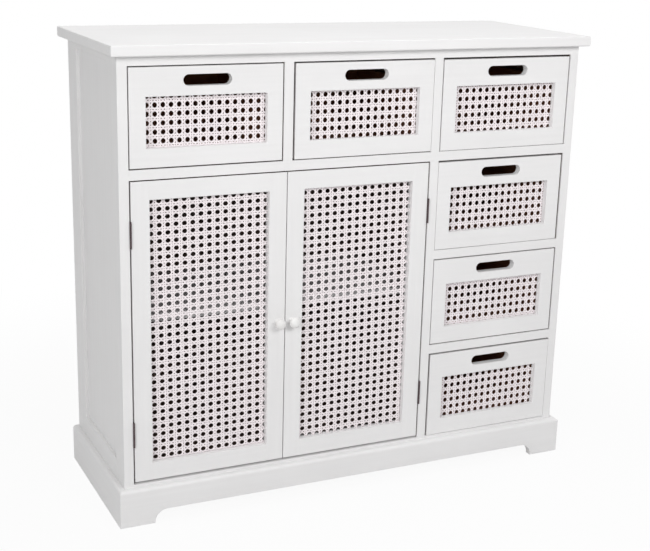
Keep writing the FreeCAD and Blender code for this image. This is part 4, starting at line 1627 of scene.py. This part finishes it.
@dataclass
class Studio:
    """The floor, the light and the camera."""

    camera_place: Triple = (-0.87299, -1.84376, 0.90877)
    camera_turn: Triple = (73.9776, -1.4756, -25.0383)
    lens: float = 69.69
    sensor: float = 36.0
    ambient: float = 0.20
    floor_size: float = 60.0
    floor_cells: int = 8
    floor_drop: float = 0.2 * MM
    paper: Colour = (0.70, 0.70, 0.70, 1.0)
    shadow_share: float = 0.06
    shadow_near: float = 0.50
    shadow_far: float = 1.2
    lamps: tuple[Lamp, ...] = (
        Lamp("front", (0.28, -1.85, 1.45), (0.1, 0.0, 1.6), 1.2, 0.8, 21.6),
        Lamp("overhead", (-0.28, -0.2, 2.9), (-0.1, 0.0, 0.0), 2.2, 1.8, 29.0),
        Lamp("left", (-2.8, -2.4, 1.7), (0.0, 0.0, 2.0), 1.8, 1.8, 59.0),
        Lamp("right", (2.7, 1.3, 1.5), (0.0, 0.0, 0.4), 1.8, 1.8, 28.0),
    )

    def seen(self, recipe: Recipe) -> Wire:
        """Tells whether the camera sees a surface, straight or in a mirror or glass.

        Args:
            recipe: the recipe that asks.

        Returns:
            1 where it does and 0 elsewhere.
        """
        names = ("Is Camera Ray", "Is Glossy Ray", "Is Transmission Ray")
        camera, mirror, glass = [recipe.node("ShaderNodeLightPath", {}, {}, name) for name in names]
        return camera.most(mirror).most(glass)

    def floor(self) -> None:
        """Lays a white floor that keeps the shadow near the object."""
        Bench.hold()
        bpy.ops.mesh.primitive_grid_add(x_subdivisions=self.floor_cells, y_subdivisions=self.floor_cells,
                                        size=self.floor_size, location=(0.0, 0.0, -self.floor_drop))
        floor = Bench.named("studio_floor")
        recipe = Recipe(bpy.data.materials.new("studio_paper"))
        distance = recipe.node("ShaderNodeVectorMath", {"operation": "LENGTH"}, {0: recipe.place()}, "Value")
        away = distance.ramp(self.shadow_near, self.shadow_far)
        fade = (1.0 - self.shadow_share) + away * self.shadow_share
        lit = recipe.node("ShaderNodeBsdfDiffuse", {}, {"Color": self.paper})
        glow = recipe.node("ShaderNodeEmission", {}, {"Color": WHITE, "Strength": 1.0})
        mixed = recipe.node("ShaderNodeMixShader", {}, {0: self.seen(recipe) * fade, 1: lit, 2: glow})
        recipe.node("ShaderNodeOutputMaterial", {}, {"Surface": mixed})
        Bench.wear(floor, recipe.owner)

    def world(self) -> None:
        """Lights everything softly from all round, before a white backdrop."""
        sky = bpy.data.worlds.new("studio_world")
        bpy.context.scene.world = sky
        recipe = Recipe(sky)
        soft = recipe.node("ShaderNodeBackground", {}, {"Color": WHITE, "Strength": self.ambient})
        backdrop = recipe.node("ShaderNodeBackground", {}, {"Color": WHITE, "Strength": 1.0})
        mixed = recipe.node("ShaderNodeMixShader", {}, {0: self.seen(recipe), 1: soft, 2: backdrop})
        recipe.node("ShaderNodeOutputWorld", {}, {"Surface": mixed})

    def camera(self) -> None:
        """Sets the camera at the photograph's place."""
        eye = bpy.data.cameras.new("camera")
        eye.lens = self.lens
        eye.sensor_width = self.sensor
        holder = bpy.data.objects.new("camera", eye)
        holder.location = self.camera_place
        holder.rotation_euler = [math.radians(angle) for angle in self.camera_turn]
        bpy.context.scene.collection.objects.link(holder)
        bpy.context.scene.camera = holder

    def build(self) -> None:
        """Sets up the whole studio."""
        self.floor()
        self.world()
        for lamp in self.lamps:
            lamp.hang()
        self.camera()
        bpy.context.scene.view_settings.view_transform = "Standard"


DOOR_PITCH = (12.92 * MM, 12.16 * MM)
DOOR_WEAVES = {
    Side.LEFT: Weave(5.52 * MM, 6.18 * MM, 0.48),
    Side.RIGHT: Weave(6.73 * MM, 2.54 * MM, 0.68),
}
DRAWER_PITCH = (12.25 * MM, 13.0 * MM)
DRAWER_WEAVES = {
    "top_left_drawer": Weave(4.15 * MM, 8.95 * MM, 0.05),
    "top_middle_drawer": Weave(4.58 * MM, 2.54 * MM, 0.24),
    "top_right_drawer": Weave(1.04 * MM, 0.3 * MM, 0.27),
    "column_lower_drawer": Weave(1.92 * MM, 1.87 * MM, 0.29),
    "column_middle_drawer": Weave(1.5 * MM, 9.28 * MM, -0.05),
    "column_upper_drawer": Weave(7.91 * MM, 3.64 * MM, -0.06),
}


def main() -> None:
    """Builds the sideboard piece by piece, then the studio."""
    logging.basicConfig(level=logging.INFO, format="%(message)s")
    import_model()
    finishes = Finishes()
    Top(finishes).build()
    for side in Side:
        SideFrame(side, finishes).build()
    Carcass(finishes).build()
    Skirting(finishes).build()
    door_cane = CaneRoll(CaneCell(finishes, *DOOR_PITCH))
    for side, weave in DOOR_WEAVES.items():
        Door(side, finishes, door_cane).build(weave)
    door_cane.put_away()
    drawer_cane = CaneRoll(CaneCell(finishes, *DRAWER_PITCH))
    for name, weave in DRAWER_WEAVES.items():
        Drawer(name, finishes, drawer_cane).build(weave)
    drawer_cane.put_away()
    Studio().build()


if __name__ == "__main__":
    main()
